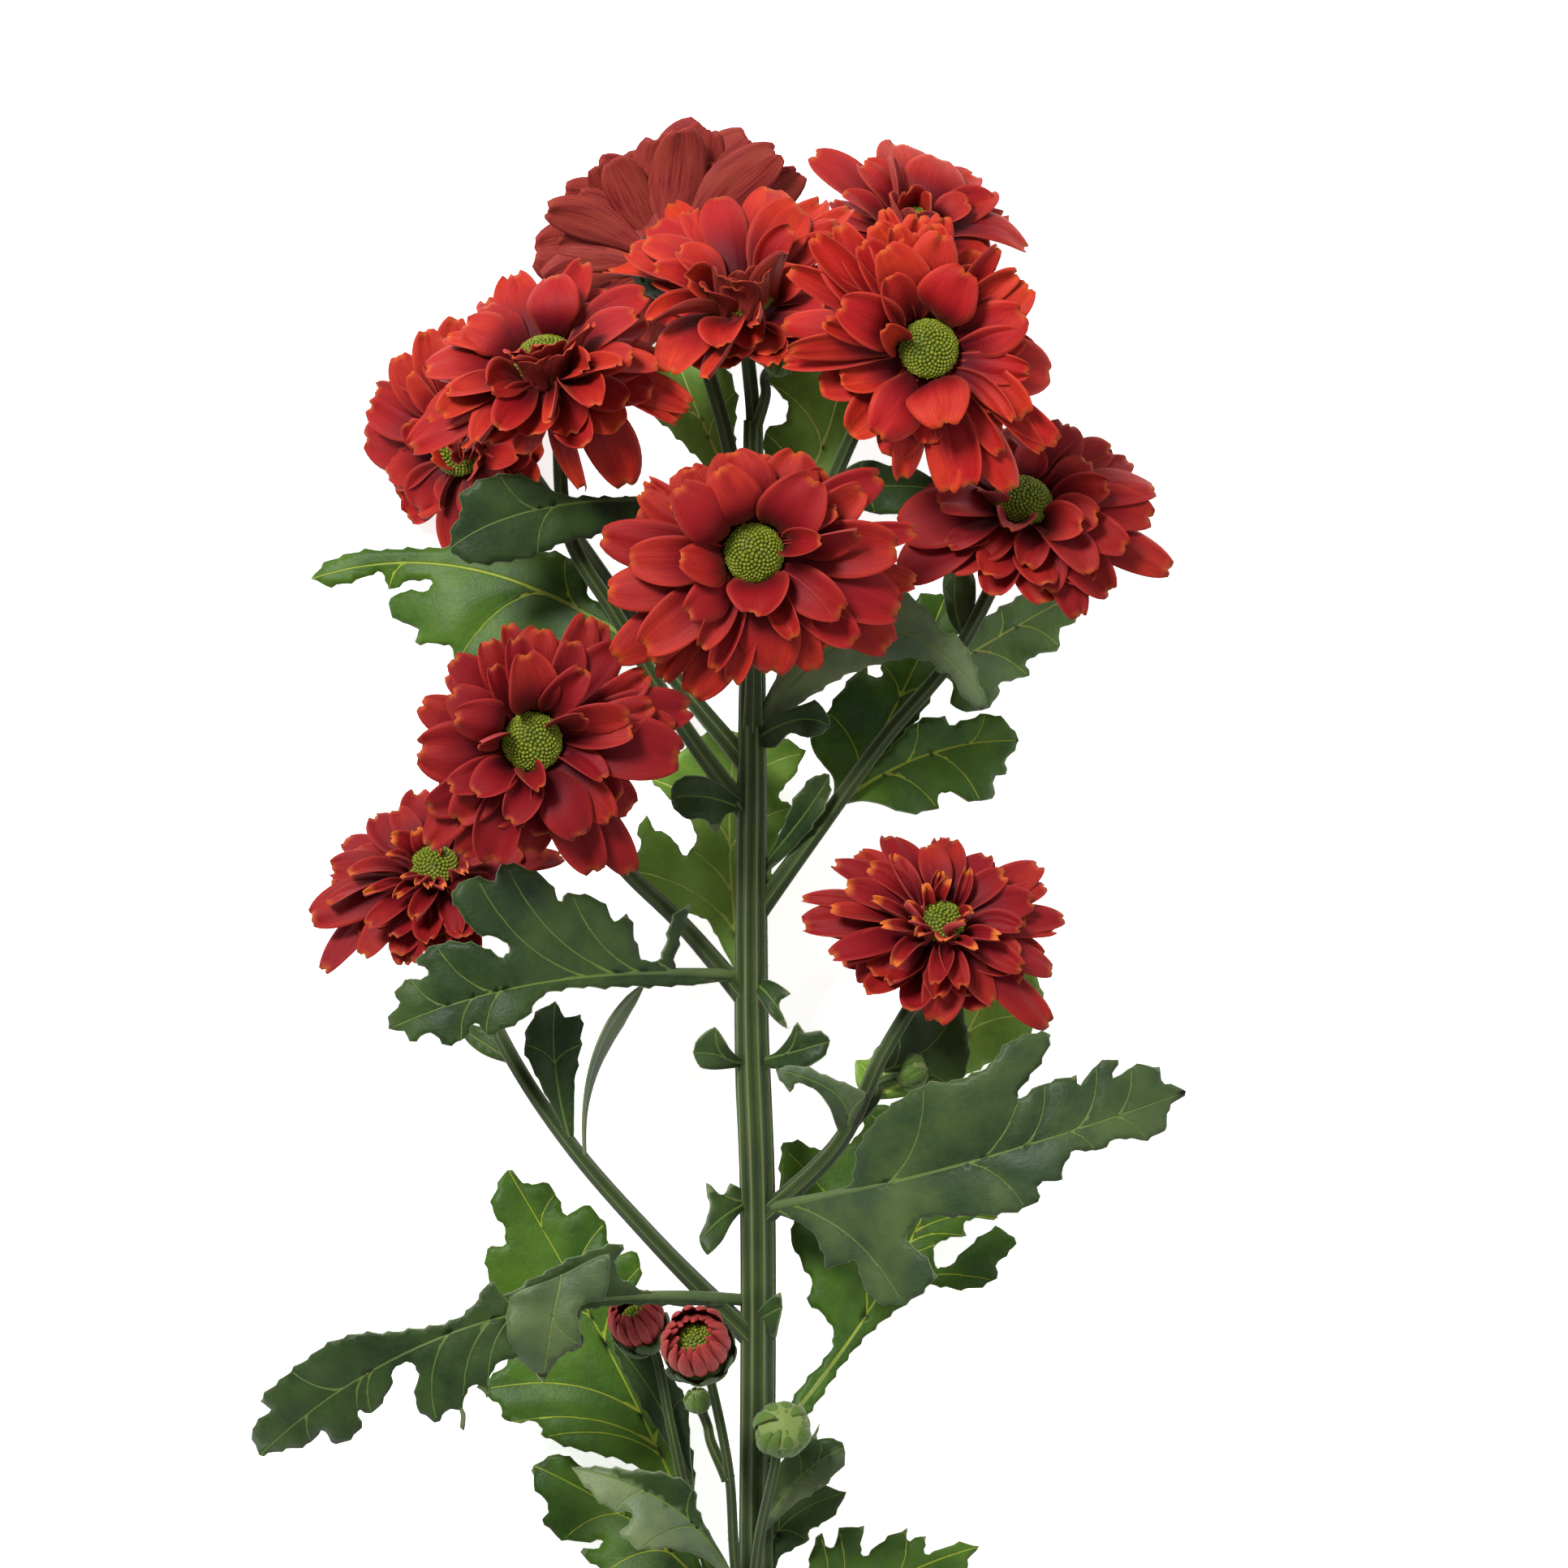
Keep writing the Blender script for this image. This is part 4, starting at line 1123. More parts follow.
def grown_petals(head, rng):
    """The forms of the petals in the layers beneath the drawn ones."""
    away = head["face"][2] < 0
    for layer in YOUNG_LAYERS if head.get("young") else LAYERS:
        start = rng.uniform(0, 1)
        for i in range(layer["count"]):
            form = {
                **PLAIN, **layer, **random_skin(rng), "warmth": WARMTH[head["name"]],
                "azimuth": (i + start) / layer["count"] * 2 * math.pi + rng.uniform(-0.09, 0.09),
                "lift": layer["lift"] + AWAY_LIFT * away + rng.uniform(-4, 4), "curl": rng.uniform(-14, 8),
                "sway": rng.uniform(-12, 12), "roll": 9 + rng.uniform(-9, 9), "twist": rng.uniform(-14, 14),
                "width": layer["width"] * rng.uniform(0.88, 1.08), "cup": rng.uniform(-0.3, 0.7),
                "teeth": (), "height": layer["height"] + AWAY_RISE * away,
            }
            form["length"] = petal_length(head, form) * rng.uniform(0.92, 1.0)
            yield form


def bloom_petals(head, seed, neighbours):
    """The petals of an open bloom, each bent clear of what is near it, on their small core."""
    rng = np.random.default_rng(seed)
    shape = Shape(*PETAL_VALUES)
    size = bloom_size(head)
    core = [(0.01, -3.3), (4.4 * size, -3.2), (5 * size, -1.6), (4.6 * size, 0), (0.01, 0)]
    add_turned(shape, core, head, along=0.1)
    shares = row_shares(BLADE_ROWS)
    kinds = ((drawn_petals(head, rng, size), drawn_choices), (grown_petals(head, rng), grown_choices))
    for forms, choices in kinds:
        for form in forms:
            made = first_clear(choices(head, form, shares), head, neighbours, rng.integers(1 << 30))
            if made:
                shape.add(**made)
    return shape


def bud_petals(head, seed):
    """The closed rings of narrow petals of a half-open bloom."""
    rng = np.random.default_rng(seed)
    shape = Shape(*PETAL_VALUES)
    size = head["radius"]
    core = [(0.01, -0.32), (0.7, -0.32), (0.74, -0.1), (0.5, 0.2), (0.01, 0.2)]
    add_turned(shape, [(r * size, h * size) for r, h in core], head, along=0.1, back=1.0)
    for ring, (lift, share, root) in enumerate(CLOSED_RINGS):
        for i in range(RING_COUNT):
            form = {
                **PLAIN, "azimuth": (i + ring / 2) / RING_COUNT * 2 * math.pi,
                "lift": lift + rng.uniform(-4, 4), "curl": 66 + rng.uniform(-8, 8),
                "length": size * 1.25 * share * rng.uniform(0.92, 1.06), "width": size * 0.4,
                "cup": 0.5, "root": size * root, "height": -size * 0.22, "groove": 0.12, "crease": 1.0,
            }
            line = grown_line(head, form, row_shares(RING_ROWS))
            shape.add(**blade(line, form, bract_width, rng, RING_ROWS, BRACT_COLUMNS))
    return shape


# Discs

FLORET_PITCH = 0.55
FLORET_HEIGHT, FLORET_SINK = 0.42, 0.12
FLORETS_TO_PITCH = 4.2  # florets for each square of the disc's radius over the pitch
GOLDEN_TURN = 2.39996
DISC_SPREAD = 1.45  # radians from a dome's top to its last florets
DISC_HEIGHT, DISC_BASE = 2.6, 0.3
DISC_INSET = 0.4  # how far the dome stays inside the disc's radius


def floret(sides=6):
    """A small rounded bud one unit wide and high, as points and faces."""
    rings = ((0.5, 0.0), (0.5, 0.5), (0.25, 0.95))
    angle = np.arange(sides) / sides * 2 * np.pi
    points = [(r * math.cos(a), r * math.sin(a), h) for r, h in rings for a in angle]
    cap = [[len(points) - sides + i for i in (0, 1, 2, 3)], [len(points) - sides + i for i in (0, 3, 4, 5)]]
    return np.array(points), np.concatenate([grid(len(rings), sides, closed=True), cap])


def add_disc(shape, head, radius, height, base, seed):
    """The domed disc, covered with florets in a spiral."""
    rng = np.random.default_rng(seed)
    face = unit(head["face"])
    across, up = bloom_axes(face)
    dome = [(radius * math.sin(t), base + height * (math.cos(t) - 0.06)) for t in np.linspace(1.57, 0.01, 10)]
    profile = [(0.01, base), (radius * 0.96, base), *dome]
    add_turned(shape, profile, head, segments=32, rise=0.0, tone=0.3)
    bud, faces = floret()
    count = int(FLORETS_TO_PITCH * (radius / FLORET_PITCH) ** 2)
    for i in range(count):
        share = math.sqrt((i + 0.5) / count)
        slope = share * DISC_SPREAD
        turn = i * GOLDEN_TURN
        out = across * math.cos(turn) + up * math.sin(turn)
        middle = head["at"] + out * radius * math.sin(slope) + face * (base + height * math.cos(slope))
        normal = unit(out * math.sin(slope) / radius + face * math.cos(slope) / height)
        first = unit(np.cross(normal, up))
        second = np.cross(normal, first)
        wide = FLORET_PITCH * (1.25 - 0.1 * share) * rng.uniform(0.9, 1.08)
        tall = FLORET_HEIGHT * rng.uniform(0.8, 1.25)
        flat = (bud[:, :1] * first + bud[:, 1:2] * second) * wide
        place = middle + flat + normal * (bud[:, 2:] * tall - FLORET_SINK)
        shape.add(place, faces, rise=bud[:, 2], tone=rng.random() * 0.7 + 0.3 * share)


# Cups and buds

BRACT_HAIRS, BRACT_HAIR_LENGTH = 14, 0.5
# Rows of bracts: count, lift, curl, length, width, root and height. Those of a cup are in millimetres,
# and those of the buds are shares of the bud's radius.
CUP_ROWS = [
    (9, 22, 60, 6.2, 3.9, 1.9, -8.4), (9, 34, 52, 5.6, 3.9, 3.3, -7.7), (9, 50, 40, 4.4, 3.6, 4.5, -6.6),
]
BUD_ROWS = [(8, 8, 84, 1.05, 0.66, 0.3, -1.0), (8, 26, 74, 0.95, 0.66, 0.5, -0.85)]
CLOSED_ROWS = [(9, 4, 150, 1.9, 0.62, 0.25, -0.93), (9, 20, 150, 1.9, 0.6, 0.45, -0.8)]
BUD_PROFILE = [(0.01, -1.12), (0.4, -1.0), (0.72, -0.62), (0.78, -0.42), (0.66, -0.38), (0.01, -0.38)]
CLOSED_PROFILE = [(0.01, -0.95), (0.55, -0.74), (0.88, -0.2), (0.86, 0.25), (0.5, 0.56), (0.01, 0.62)]


def add_bracts(shape, head, size, rows, seed, **values):
    """Overlapping green bracts in rows."""
    rng = np.random.default_rng(seed)
    for row, (count, lift, curl, length, width, root, height) in enumerate(rows):
        for i in range(count):
            form = {
                **PLAIN, "azimuth": (i + row / 2) / count * 2 * math.pi + rng.uniform(-0.08, 0.08),
                "lift": lift + rng.uniform(-4, 4), "curl": curl,
                "length": length * size * rng.uniform(0.9, 1.1), "width": width * size, "cup": 0.5,
                "root": root * size, "height": height * size, "thickness": 0.3,
            }
            line = grown_line(head, form, row_shares(BRACT_ROWS))
            made = blade(line, form, bract_width, rng, BRACT_ROWS, BRACT_COLUMNS)
            pale = 0.15 + 0.85 * np.abs(made["across"]) ** 3
            shape.add(made["points"], made["faces"], pale=pale, **values)
            roots = rng.choice(made["points"], BRACT_HAIRS)
            outward = unit(roots - foot_of(head, -height * size))
            add_hairs(shape, roots, outward, BRACT_HAIR_LENGTH, rng, pale=1.0, **values)


def add_cup(shape, head, seed):
    """The cup of an open bloom."""
    size = bloom_size(head)
    rim = 6 * size
    profile = [(0.01, -CUP_DEPTH), (1.6 * size, -CUP_DEPTH), (4.6 * size, -6.6), (rim - 0.7, -4.7),
               (rim - 0.9, -3.9), (0.01, -3.9)]
    add_turned(shape, profile, head, pale=0.2)
    add_bracts(shape, head, size, CUP_ROWS, seed)


def add_bud_cup(shape, head, seed):
    """The cup of a half-open bloom."""
    size = head["radius"]
    add_turned(shape, [(r * size, h * size) for r, h in BUD_PROFILE], head, pale=0.4, bud=0.4)
    add_bracts(shape, head, size, BUD_ROWS, seed, bud=0.35)


def add_closed_bud(shape, head, seed):
    """A round green bud, with its bracts closed over its top."""
    size = head["radius"]
    add_turned(shape, [(r * size, h * size) for r, h in CLOSED_PROFILE], head, pale=0.5, bud=1.0)
    add_bracts(shape, head, size, CLOSED_ROWS, seed, bud=1.0)


# Leaves

RIB_SAMPLES = 400
RUFFLE, RUFFLE_FROM = 0.9, 8  # height of a leaf's waves, and how far from the rib they are full
LEAF_THICKNESS = 0.42
LEAF_PITCH = 1.05
TIP_BULGE = math.radians(15)
TIP_TURN = math.radians(48)  # a corner that turns more than this is a pointed one
VEIN_PASSES = 3  # triangulations of a leaf, each with points added between veins that meet
MIDRIB_HALF, SMALL_MIDRIB_HALF, MIDRIB_END = 0.36, 0.26, 0.1  # half widths of a midrib
LONG_LEAF = 30  # least length of a leaf with the wider midrib
VEIN_HALF, SMALL_VEIN_HALF, VEIN_END = 0.18, 0.14, 0.05  # half widths of a side vein
LONG_VEIN = 8  # least length of the wider side veins
LOBE_REACH = 3.4  # least distance from the midrib of a lobe with a vein
TOOTH_STEPS = 4  # outline points to a small tooth
TOOTH_DEPTH = 0.55
TOOTHED_LENGTH = 25  # length of the shortest leaf with teeth of the full depth
VEIN_SINK, CHANNEL, EDGE_FALL = 0.6, 0.16, 0.3  # depths of the upper side's relief
EDGE_HAIR_LENGTH = 0.38
STALK_TO_LENGTH = 55  # a leaf's length over the radius of its stalk
STALK_REACH = 0.6  # share of the rib that the stalk runs along
STANDING_HALF = 0.2  # half the thickness of a leaf that stands on edge


def rib_points(rib, shares):
    base, mid, tip = np.asarray(rib, float)
    bend = 2 * mid - (base + tip) / 2
    share = np.asarray(shares, float)[:, None]
    return base * (1 - share) ** 2 + 2 * bend * share * (1 - share) + tip * share**2


def cross2(first, second):
    return first[..., 0] * second[..., 1] - first[..., 1] * second[..., 0]


def turn2(vector, angle):
    cosine, sine = math.cos(angle), math.sin(angle)
    return np.array((vector[0] * cosine - vector[1] * sine, vector[0] * sine + vector[1] * cosine))


def smooth_outline(corners, pitch):
    """A closed outline through the corners: teeth stay pointed and bulge, hollows are rounded."""
    corners = np.asarray(corners, float)
    count = len(corners)
    way = np.sign(cross2(corners, np.roll(corners, -1, 0)).sum())
    before = corners - np.roll(corners, 1, 0)
    after = np.roll(corners, -1, 0) - corners
    arriving, leaving = before.copy(), after.copy()
    for i in range(count):
        a, b = before[i], after[i]
        turn = math.atan2(cross2(a, b), a @ b) * way
        if turn > TIP_TURN:
            arriving[i] = turn2(a, TIP_BULGE * way)
            leaving[i] = turn2(b, -TIP_BULGE * way)
        else:
            flow = unit(unit(a) * np.linalg.norm(b) + unit(b) * np.linalg.norm(a))
            arriving[i], leaving[i] = flow * np.linalg.norm(a), flow * np.linalg.norm(b)
    made = []
    for i in range(count):
        j = (i + 1) % count
        steps = max(2, round(np.linalg.norm(after[i]) / pitch))
        for s in np.arange(steps) / steps:
            made.append(
                corners[i] * (2 * s**3 - 3 * s**2 + 1) + leaving[i] * (s**3 - 2 * s**2 + s)
                + corners[j] * (3 * s**2 - 2 * s**3) + arriving[j] * (s**3 - s**2)
            )
    return np.array(made)


def serrated(outline, depth):
    """The outline with small teeth that lean toward the tip, none next to the base."""
    before, after = np.roll(outline, 1, 0), np.roll(outline, -1, 0)
    along = unit(after - before)
    way = np.sign(cross2(outline, after).sum())
    outward = np.column_stack([along[:, 1], -along[:, 0]]) * way
    steps = np.arange(len(outline)) % TOOTH_STEPS / (TOOTH_STEPS - 1)
    from_base = np.minimum(np.arange(len(outline)), len(outline) - np.arange(len(outline)))
    fade = np.clip((from_base - 8) / 8, 0, 1)
    vary = 0.3 + 0.7 * np.abs(np.sin(np.arange(len(outline)) // TOOTH_STEPS * 1.7))
    return outline + outward * (depth * (steps**1.6 - 0.35) * fade * vary)[:, None]


def inside(points, outline):
    """Which points lie inside a closed outline."""
    x, y = points[:, :1], points[:, 1:2]
    x0, y0 = outline[:, 0], outline[:, 1]
    x1, y1 = np.roll(x0, -1), np.roll(y0, -1)
    spans = (y0 > y) != (y1 > y)
    rise = np.where(y1 == y0, 1e-9, y1 - y0)
    return (spans & (x < (x1 - x0) * (y - y0) / rise + x0)).sum(1) % 2 == 1


def line_gap(points, line):
    """Distance from each point to a polyline, and how far along it, 0 to 1, its nearest place is."""
    starts, spans = line[:-1], np.diff(line, axis=0)
    offset = points[:, None] - starts
    share = np.clip((offset * spans).sum(-1) / np.maximum((spans**2).sum(-1), 1e-9), 0, 1)
    gap = np.linalg.norm(offset - spans * share[..., None], axis=-1)
    nearest = gap.argmin(1)
    rows = np.arange(len(points))
    return gap[rows, nearest], (nearest + share[rows, nearest]) / len(spans)


def leaf_veins(form, outline):
    """The midrib and a side vein to each lobe, in plan, each with its half width at both ends."""
    rib = rib_points(form["rib"], np.linspace(0, 1, 30))[:, :2]
    length = np.linalg.norm(np.diff(rib, axis=0), axis=1).sum()
    veins = [(rib, MIDRIB_HALF if length > LONG_LEAF else SMALL_MIDRIB_HALF, MIDRIB_END)]
    for edge in ("right", "left"):
        points = np.array(form[edge], float)
        gap, share = line_gap(points, rib)
        for i in range(1, len(points) - 1):
            if gap[i] < max(gap[i - 1], gap[i + 1]) or gap[i] < LOBE_REACH:
                continue
            start = max(0.04, share[i] - 0.75 * gap[i] / length)
            root = rib_points(form["rib"], [start])[0, :2]
            tip = root + (points[i] - root) * 0.94
            heading = unit(rib_points(form["rib"], [start + 0.05])[0, :2] - root)
            reach = np.linalg.norm(tip - root)
            bend = root + heading * reach * 0.28 + (tip - root) * 0.26
            s = np.linspace(0, 1, 14)[:, None]
            line = root * (1 - s) ** 2 + 2 * bend * s * (1 - s) + tip * s**2
            within = inside(line, outline)
            within[0] = True
            stop = len(line) if within.all() else int(np.argmin(within))
            if stop > 4:
                veins.append((line[:stop], VEIN_HALF if reach > LONG_VEIN else SMALL_VEIN_HALF, VEIN_END))
    return veins


def vein_field(points, veins):
    """Distance to the nearest vein, and that distance over the vein's half width."""
    gaps, ratios = [], []
    for line, thick, thin in veins:
        gap, share = line_gap(points, line)
        gaps.append(gap)
        ratios.append(gap / (thick + (thin - thick) * share))
    return np.min(gaps, 0), np.min(ratios, 0)


def leaf_sides(form, flat):
    """0 for the points of a leaf right of its rib, 1 for those left of it."""
    rib = rib_points(form["rib"], np.linspace(0, 1, RIB_SAMPLES + 1))[:, :2]
    nearest = np.linalg.norm(flat[:, None] - rib[None], axis=-1).argmin(1)
    return (cross2(np.gradient(rib, axis=0)[nearest], flat - rib[nearest]) > 0).astype(int)


def leaf_height(form, flat):
    """The height of a leaf's middle over points in plan."""
    shares = np.linspace(0, 1, RIB_SAMPLES + 1)
    rib = rib_points(form["rib"], shares)
    gaps = np.linalg.norm(flat[:, None] - rib[None, :, :2], axis=-1)
    nearest = gaps.argmin(1)
    gap = gaps[np.arange(len(flat)), nearest]
    half = leaf_sides(form, flat)
    wave = np.sin(nearest * 80 / RIB_SAMPLES / 7 + half * 2.1)
    ruffle = RUFFLE * np.minimum(1, gap / RUFFLE_FROM) * wave
    return rib[nearest, 2] + gap * np.array(form["rise"])[half] + ruffle


def face_sides(faces):
    """The three sides of each triangle, as pairs of points."""
    return np.concatenate([faces[:, [0, 1]], faces[:, [1, 2]], faces[:, [2, 0]]])


def leaf_mesh(outline, veins):
    """Points in plan and triangles that fill the outline and follow the veins."""
    low, high = outline.min(0), outline.max(0)
    rows = np.arange(low[1], high[1], LEAF_PITCH * 0.866)
    lattice = [(x + (i % 2) * LEAF_PITCH / 2, y) for i, y in enumerate(rows)
               for x in np.arange(low[0], high[0], LEAF_PITCH)]
    lattice = np.array(lattice)
    lattice = lattice[inside(lattice, outline)]
    rim = np.vstack([outline, outline[:1]])
    clear = line_gap(lattice, rim)[0] > 0.45 * LEAF_PITCH
    for line, _, _ in veins:
        clear &= line_gap(lattice, line)[0] > 0.5 * LEAF_PITCH
    points, edges = [outline], [(i, (i + 1) % len(outline)) for i in range(len(outline))]
    start = len(outline)
    for line, _, _ in veins:
        points.append(line)
        edges += [(start + i, start + i + 1) for i in range(len(line) - 1)]
        start += len(line)
    points.append(lattice[clear])
    for _ in range(VEIN_PASSES):
        made = delaunay_2d_cdt(np.concatenate(points).tolist(), edges, [list(range(len(outline)))], 1, 1e-4)
        flat, faces = np.array([list(point) for point in made[0]]), np.array(made[2])
        sides = np.unique(np.sort(face_sides(faces), 1), axis=0)
        ratio = vein_field(flat, veins)[1]
        joined = sides[(ratio[sides] < 0.6).all(1)]
        middles = flat[joined].mean(1)
        if len(middles):
            points.append(middles[vein_field(middles, veins)[1] > 1.1])
    return flat, faces


def add_sheet(shape, middle, faces, normal, thick, below, **values):
    """A thin closed sheet over a surface of triangles; below is how far its underside swells."""
    upper = middle + normal * thick / 2
    lower = middle - normal * (thick / 2 + below)[:, None]
    count = len(middle)
    sides = face_sides(faces)
    keys = np.sort(sides, 1)
    _, index, times = np.unique(keys, axis=0, return_index=True, return_counts=True)
    rim = sides[index[times == 1]]
    walls = np.concatenate([
        np.stack([rim[:, 1], rim[:, 0], rim[:, 0] + count], -1),
        np.stack([rim[:, 1], rim[:, 0] + count, rim[:, 1] + count], -1),
    ])
    both = {key: np.tile(value, 2) for key, value in values.items()}
    skins = np.concatenate([faces, faces[:, ::-1] + count, walls])
    shape.add(np.concatenate([upper, lower]), skins, under=np.repeat((0.0, 1.0), count), **both)


def surface_normals(points, faces):
    corners = points[faces]
    cross = np.cross(corners[:, 1] - corners[:, 0], corners[:, 2] - corners[:, 0])
    normals = np.zeros_like(points)
    for i in range(3):
        np.add.at(normals, faces[:, i], cross)
    return unit(normals + 1e-12)


def add_leaf(shape, form):
    """A leaf drawn in plan, with its veins sunk, its underside ribbed and a stalk under its base."""
    base, _, tip = form["rib"]
    corners = [base[:2], *form["right"], tip[:2], *form["left"][::-1]]
    reach = np.linalg.norm(np.asarray(tip[:2], float) - base[:2])
    depth = TOOTH_DEPTH * min(1, reach / TOOTHED_LENGTH)
    outline = serrated(smooth_outline(corners, LEAF_PITCH * 0.8), depth)
    veins = leaf_veins(form, outline)
    flat, faces = leaf_mesh(outline, veins)
    turn = cross2(flat[faces[:, 1]] - flat[faces[:, 0]], flat[faces[:, 2]] - flat[faces[:, 0]])
    faces[turn < 0] = faces[turn < 0][:, ::-1]
    gap, ratio = vein_field(flat, veins)
    edge = line_gap(flat, np.vstack([outline, outline[:1]]))[0]
    relief = VEIN_SINK * (1 - np.exp(-((gap / 2.6) ** 2))) - CHANNEL * np.exp(-((gap / 0.6) ** 2))
    relief -= EDGE_FALL * np.exp(-((edge / 0.9) ** 2))
    middle = np.column_stack([flat, leaf_height(form, flat) + relief])
    normal = surface_normals(middle, faces)
    below = 0.3 * np.exp(-((ratio / 1.3) ** 2))
    silver = np.array(SILVER.get(form.get("name"), (0.0, 0.0)))[leaf_sides(form, flat)]
    add_sheet(shape, middle, faces, normal, LEAF_THICKNESS, below, vein=np.minimum(ratio, 8.0), edge=edge,
              silver=silver)
    add_edge_hairs(shape, middle, faces, normal, edge)
    add_leaf_stalk(shape, form, min(max(reach / STALK_TO_LENGTH, 0.3), 1.05))


def add_edge_hairs(shape, middle, faces, normal, edge):
    """Pale hairs round the rim of a leaf, two to each point of it."""
    rng = np.random.default_rng(len(middle))
    rim = np.tile(np.flatnonzero(edge < 1e-3), 2)
    inward = np.zeros_like(middle)
    for i in range(3):
        np.add.at(inward, faces[:, i], middle[faces].mean(1) - middle[faces[:, i]])
    inward = unit(inward[rim])
    spread = rng.uniform(-0.5, 0.5, (len(rim), 1)) * LEAF_PITCH * unit(np.cross(inward, normal[rim]))
    roots = middle[rim] + spread * 0.8 + inward * 0.1
    add_hairs(shape, roots, -inward, EDGE_HAIR_LENGTH, rng, vein=8.0, silver=1.0)


def add_leaf_stalk(shape, form, radius):
    """The round stalk under a leaf's midrib, which tapers away along it."""
    share = np.linspace(0, STALK_REACH, 26)
    line = rib_points(form["rib"], share)
    radii = radius * (1 - share / STALK_REACH * 0.82)
    line[:, 2] -= 0.1 + radii * 0.75
    add_tube(shape, line, radii, 10, vein=0.9, edge=5.0, under=0.6)


def add_standing_leaf(shape, form):
    """A plain leaf that stands on edge, as a grid across its rib."""
    shares = np.linspace(0, 1, 22)
    across = np.linspace(-1, 1, 9)
    rib = rib_points([form["base"], form["mid"], form["tip"]], shares)
    heading = unit(np.gradient(rib, axis=0))
    side = unit(np.cross(form["face"], heading))
    normal = np.cross(heading, side)
    wide = np.interp(shares, (0, 0.25, 0.42, 0.6, 0.75, 0.92, 1), (0.08, 0.3, 0.65, 1, 1, 0.5, 0.03))
    reach = wide[:, None] * across * form["width"] / 2
    cup = math.radians(form["cup"])
    middle = (rib[:, None] + side[:, None] * (reach * math.cos(cup))[..., None]
              + normal[:, None] * (np.abs(reach) * math.sin(cup))[..., None])
    count = len(shares) * len(across)
    skin = normal[:, None] * STANDING_HALF
    points = np.concatenate([middle + skin, middle - skin]).reshape(-1, 3)
    vein = np.tile(np.abs(reach).ravel() / 0.25, 2)
    edge = np.tile((form["width"] / 2 * wide[:, None] - np.abs(reach)).ravel(), 2)
    shape.add(points, sheet_faces(len(shares), len(across)), vein=vein, edge=edge, silver=0.7,
              under=np.repeat((0.0, 1.0), count))


# The spray

LIGHT_LEAVES = {
    "upper_left", "top_left", "top_right", "right_upper", "right_side", "right_inner", "middle_back",
    "right_back", "right_hidden", "lower_left_back", "bottom_left", "bottom_right_low", "lowest_left",
}

FRESH_LEAVES = {"top_left", "top_right", "middle_back", "right_hidden"}
# How far the right and the left half of a folded leaf show their silvery underside.
SILVER = {
    "centre_folded": (0.9, 0.75), "bottom_left_front": (0.0, 0.9), "stalk_curl": (0.7, 0.3),
    "right_large": (0.2, 0.1), "flap": (0.4, 0.4), "bottom_right_upper": (0.6, 0.0),
}
# Lobes that are folded back over their leaf.
FLAPS = [
    {"name": "flap", "leaf": "lower_left_front", "rise": [0.05, 0.05],
     "rib": [[-30, 215.5, 45.4], [-31.5, 208.5, 45.8], [-33, 199.5, 43.4]],
     "right": [[-38.2, 212], [-38.4, 205.5], [-36.4, 201.7]],
     "left": [[-22.5, 219], [-23.2, 211.8], [-27, 210.6], [-27, 204.4], [-29.7, 203]]},
]


LEAF_VALUES = ("vein", "edge", "under", "silver")


def build_stalks(material, neighbours):
    """The main stem and every stalk, as one piece."""
    shape = Shape("pale", "bud")
    stem = curve_points(MAIN_STEM["points"], STEM_STEPS)
    place = np.linspace(0, len(MAIN_STEM["radii"]) - 1, len(stem))
    radii = np.interp(place, np.arange(len(MAIN_STEM["radii"])), MAIN_STEM["radii"])
    add_tube(shape, stem, radii, STEM_SIDES, ribs=STEM_RIBS, depth=MAIN_STEM["grooves"],
             hairs=STEM_HAIRS, end_cut=MAIN_STEM["endCut"], wobble=STEM_WOBBLE)
    for head in BLOOMS:
        add_stalk(shape, head, STALK_RADIUS, CUP_DEPTH)
    for head in HALF_OPEN:
        add_stalk(shape, head, BUD_STALK_RADIUS, head["radius"] * 1.12)
    for head in GREEN_BUDS:
        add_stalk(shape, head, BUD_STALK_RADIUS, head["radius"] * 0.95)
    shape.piece("stem_and_stalks", material, "stem", "stem")
    neighbours.add(shape)


def build_cups(material, neighbours):
    """The green cup of each bloom, and the closed buds."""
    kinds = ((BLOOMS, add_cup), (HALF_OPEN, add_bud_cup), (GREEN_BUDS, add_closed_bud))
    for heads, add in kinds:
        for i, head in enumerate(heads):
            shape = Shape("pale", "bud")
            name = head.get("name", f"closed_bud_{i + 1}")
            add(shape, head, SEED + i)
            shape.piece("cup_" + name, material, "stem", "stem")
            neighbours.add(shape, name)


def leaf_materials():
    """The materials of the dark, the light and the freshest leaves."""
    dark = leaf_paint("leaf_dark", linear(20, 37, 12), linear(45, 63, 24), linear(80, 98, 42),
                      linear(60, 77, 56))
    light = leaf_paint("leaf_light", linear(28, 54, 8), linear(58, 86, 14), linear(126, 136, 38),
                       linear(60, 84, 46))
    fresh = leaf_paint("leaf_fresh", linear(70, 102, 30), linear(112, 144, 56), linear(176, 186, 92),
                       linear(92, 112, 62))
    return dark, light, fresh


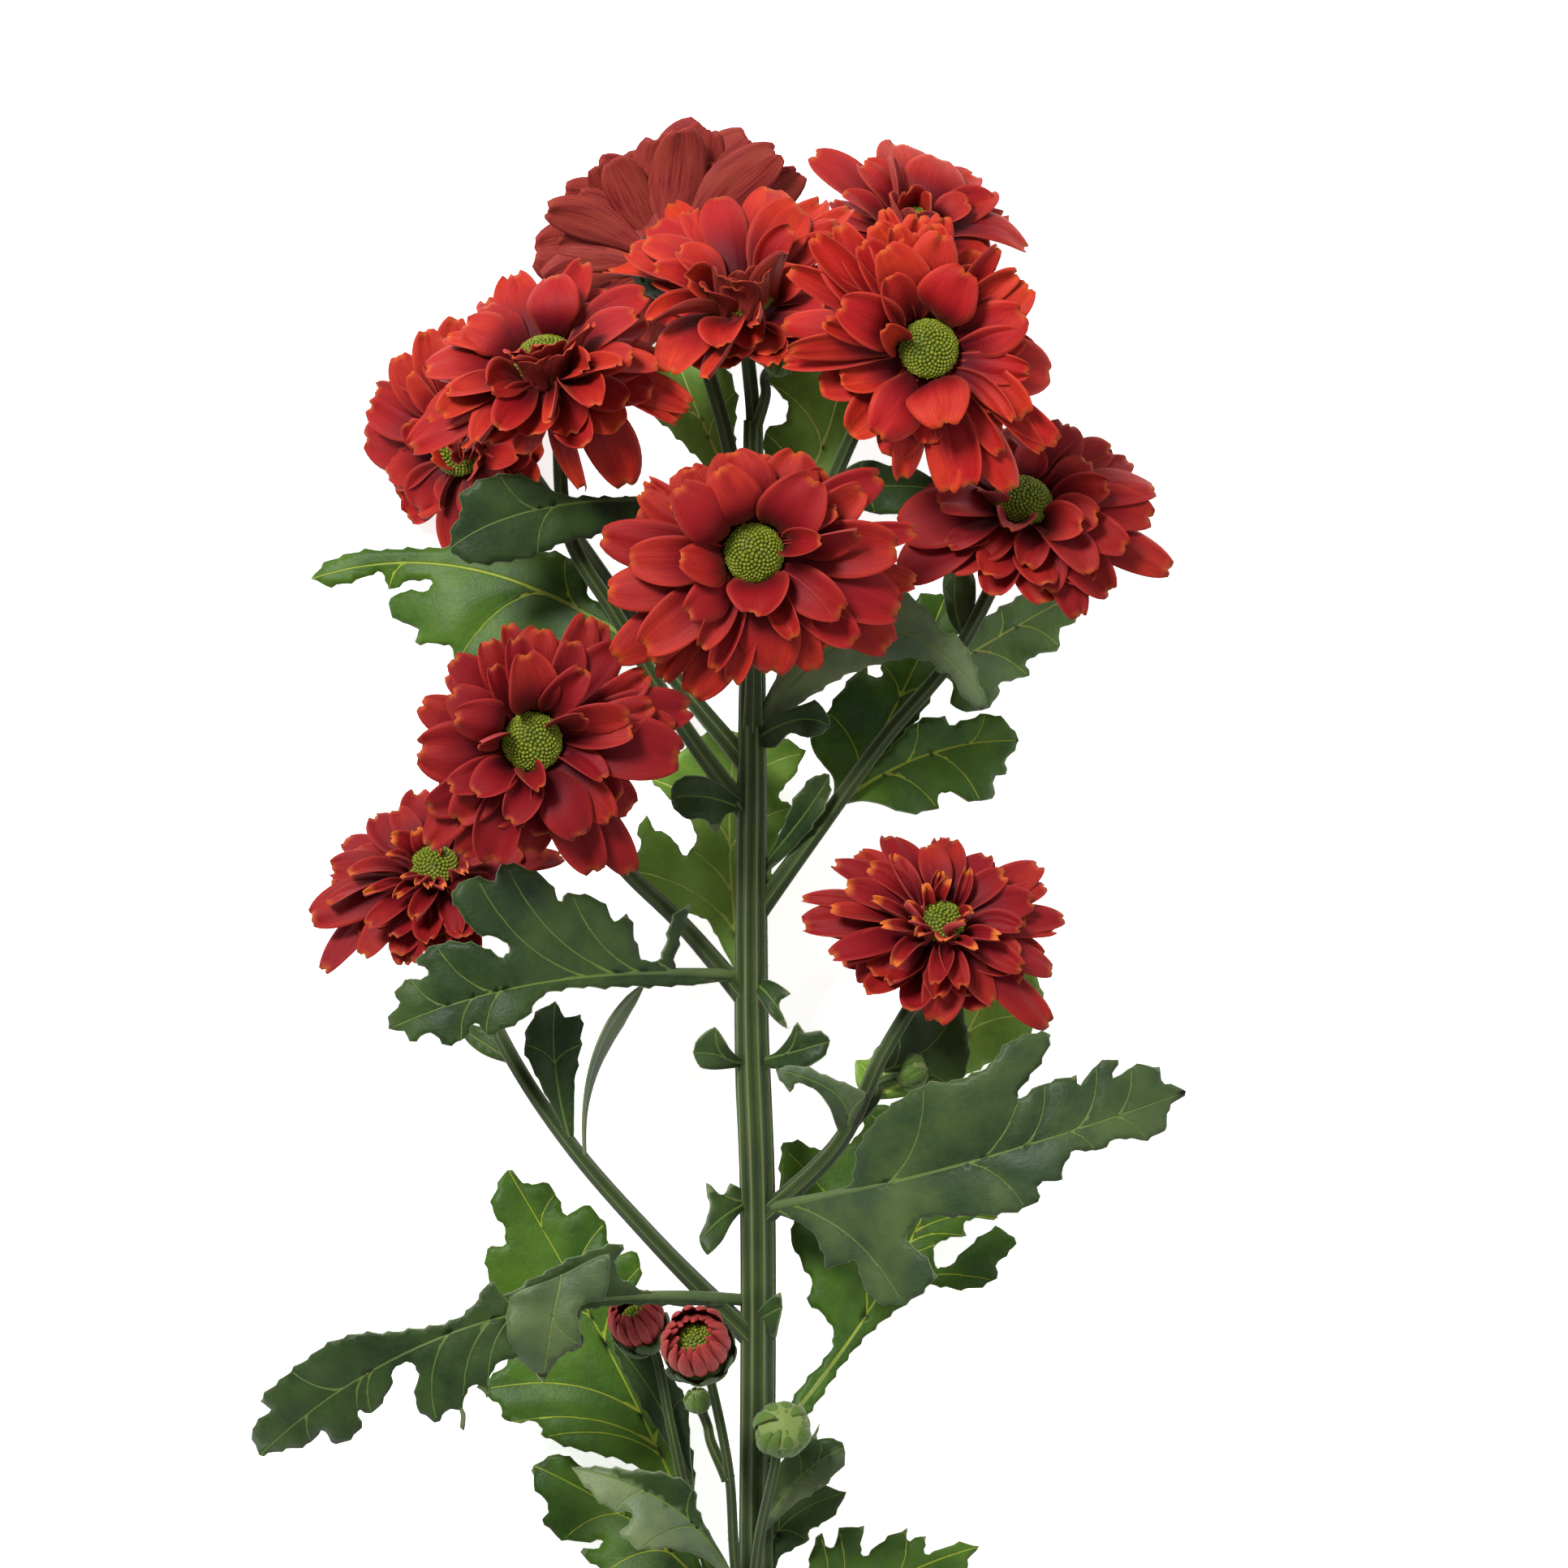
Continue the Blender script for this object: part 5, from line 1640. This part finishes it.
def build_leaves(dark, light, fresh, neighbours):
    """Each leaf, with the lobe that is folded back over it, if it has one."""
    for form in LEAVES:
        shape = Shape(*LEAF_VALUES)
        add_leaf(shape, form)
        for flap in FLAPS:
            if flap["leaf"] == form["name"]:
                add_leaf(shape, flap)
        pale = form["name"] in LIGHT_LEAVES
        material, slot = (light, "leaf_light") if pale else (dark, "leaf_dark")
        if form["name"] in FRESH_LEAVES:
            material = fresh
        shape.piece("blade_" + form["name"], material, slot, "leaf_" + form["name"])
        neighbours.add(shape)
    for form in EDGE_ON:
        shape = Shape(*LEAF_VALUES)
        add_standing_leaf(shape, form)
        shape.piece("blade_" + form["name"], dark, "leaf_dark", "leaf_" + form["name"])


def build_leaflets(dark):
    """The smallest leaves, which the part has in one with its stem."""
    small = Shape(*LEAF_VALUES)
    for form in LEAFLETS:
        add_leaf(small, form)
    small.piece("small_leaves", dark, "leaf_dark", "stem")


def build_disc(head, material, radius, height, base, seed):
    florets = Shape("rise", "tone")
    add_disc(florets, head, radius, height, base, seed)
    florets.piece("florets_" + head["name"], material, "disc", "disc_" + head["name"])


def build_blooms(petal, disc, neighbours):
    """The open blooms, from the highest down, so that the lower ones make way."""
    for i in sorted(range(len(BLOOMS)), key=lambda i: -BLOOMS[i]["at"][2]):
        head = BLOOMS[i]
        petals = bloom_petals(head, SEED + i * 31, neighbours)
        petals.piece("bloom_" + head["name"], petal, "petal", "petals_" + head["name"])
        neighbours.add(petals, head["name"])
        radius = DISC_RADIUS * bloom_size(head) - DISC_INSET
        build_disc(head, disc, radius, DISC_HEIGHT, DISC_BASE, SEED + i)


def build_half_open(petal, disc):
    for i, head in enumerate(HALF_OPEN):
        petals = bud_petals(head, SEED + 900 + i)
        petals.piece("bloom_" + head["name"], petal, "petal", "petals_" + head["name"])
        radius = head["radius"]
        build_disc(head, disc, radius * 0.42, 1.4, radius * 0.2 + DISC_BASE, SEED + 50 + i)


def build_spray():
    neighbours = Neighbours()
    petal, disc, green = petal_paint(), disc_paint(), green_paint()
    dark, light, fresh = leaf_materials()
    build_stalks(green, neighbours)
    build_cups(green, neighbours)
    build_leaves(dark, light, fresh, neighbours)
    build_leaflets(dark)
    build_blooms(petal, disc, neighbours)
    build_half_open(petal, disc)


scene.view_settings.view_transform = "Standard"
make_camera()
make_stage()
build_spray()
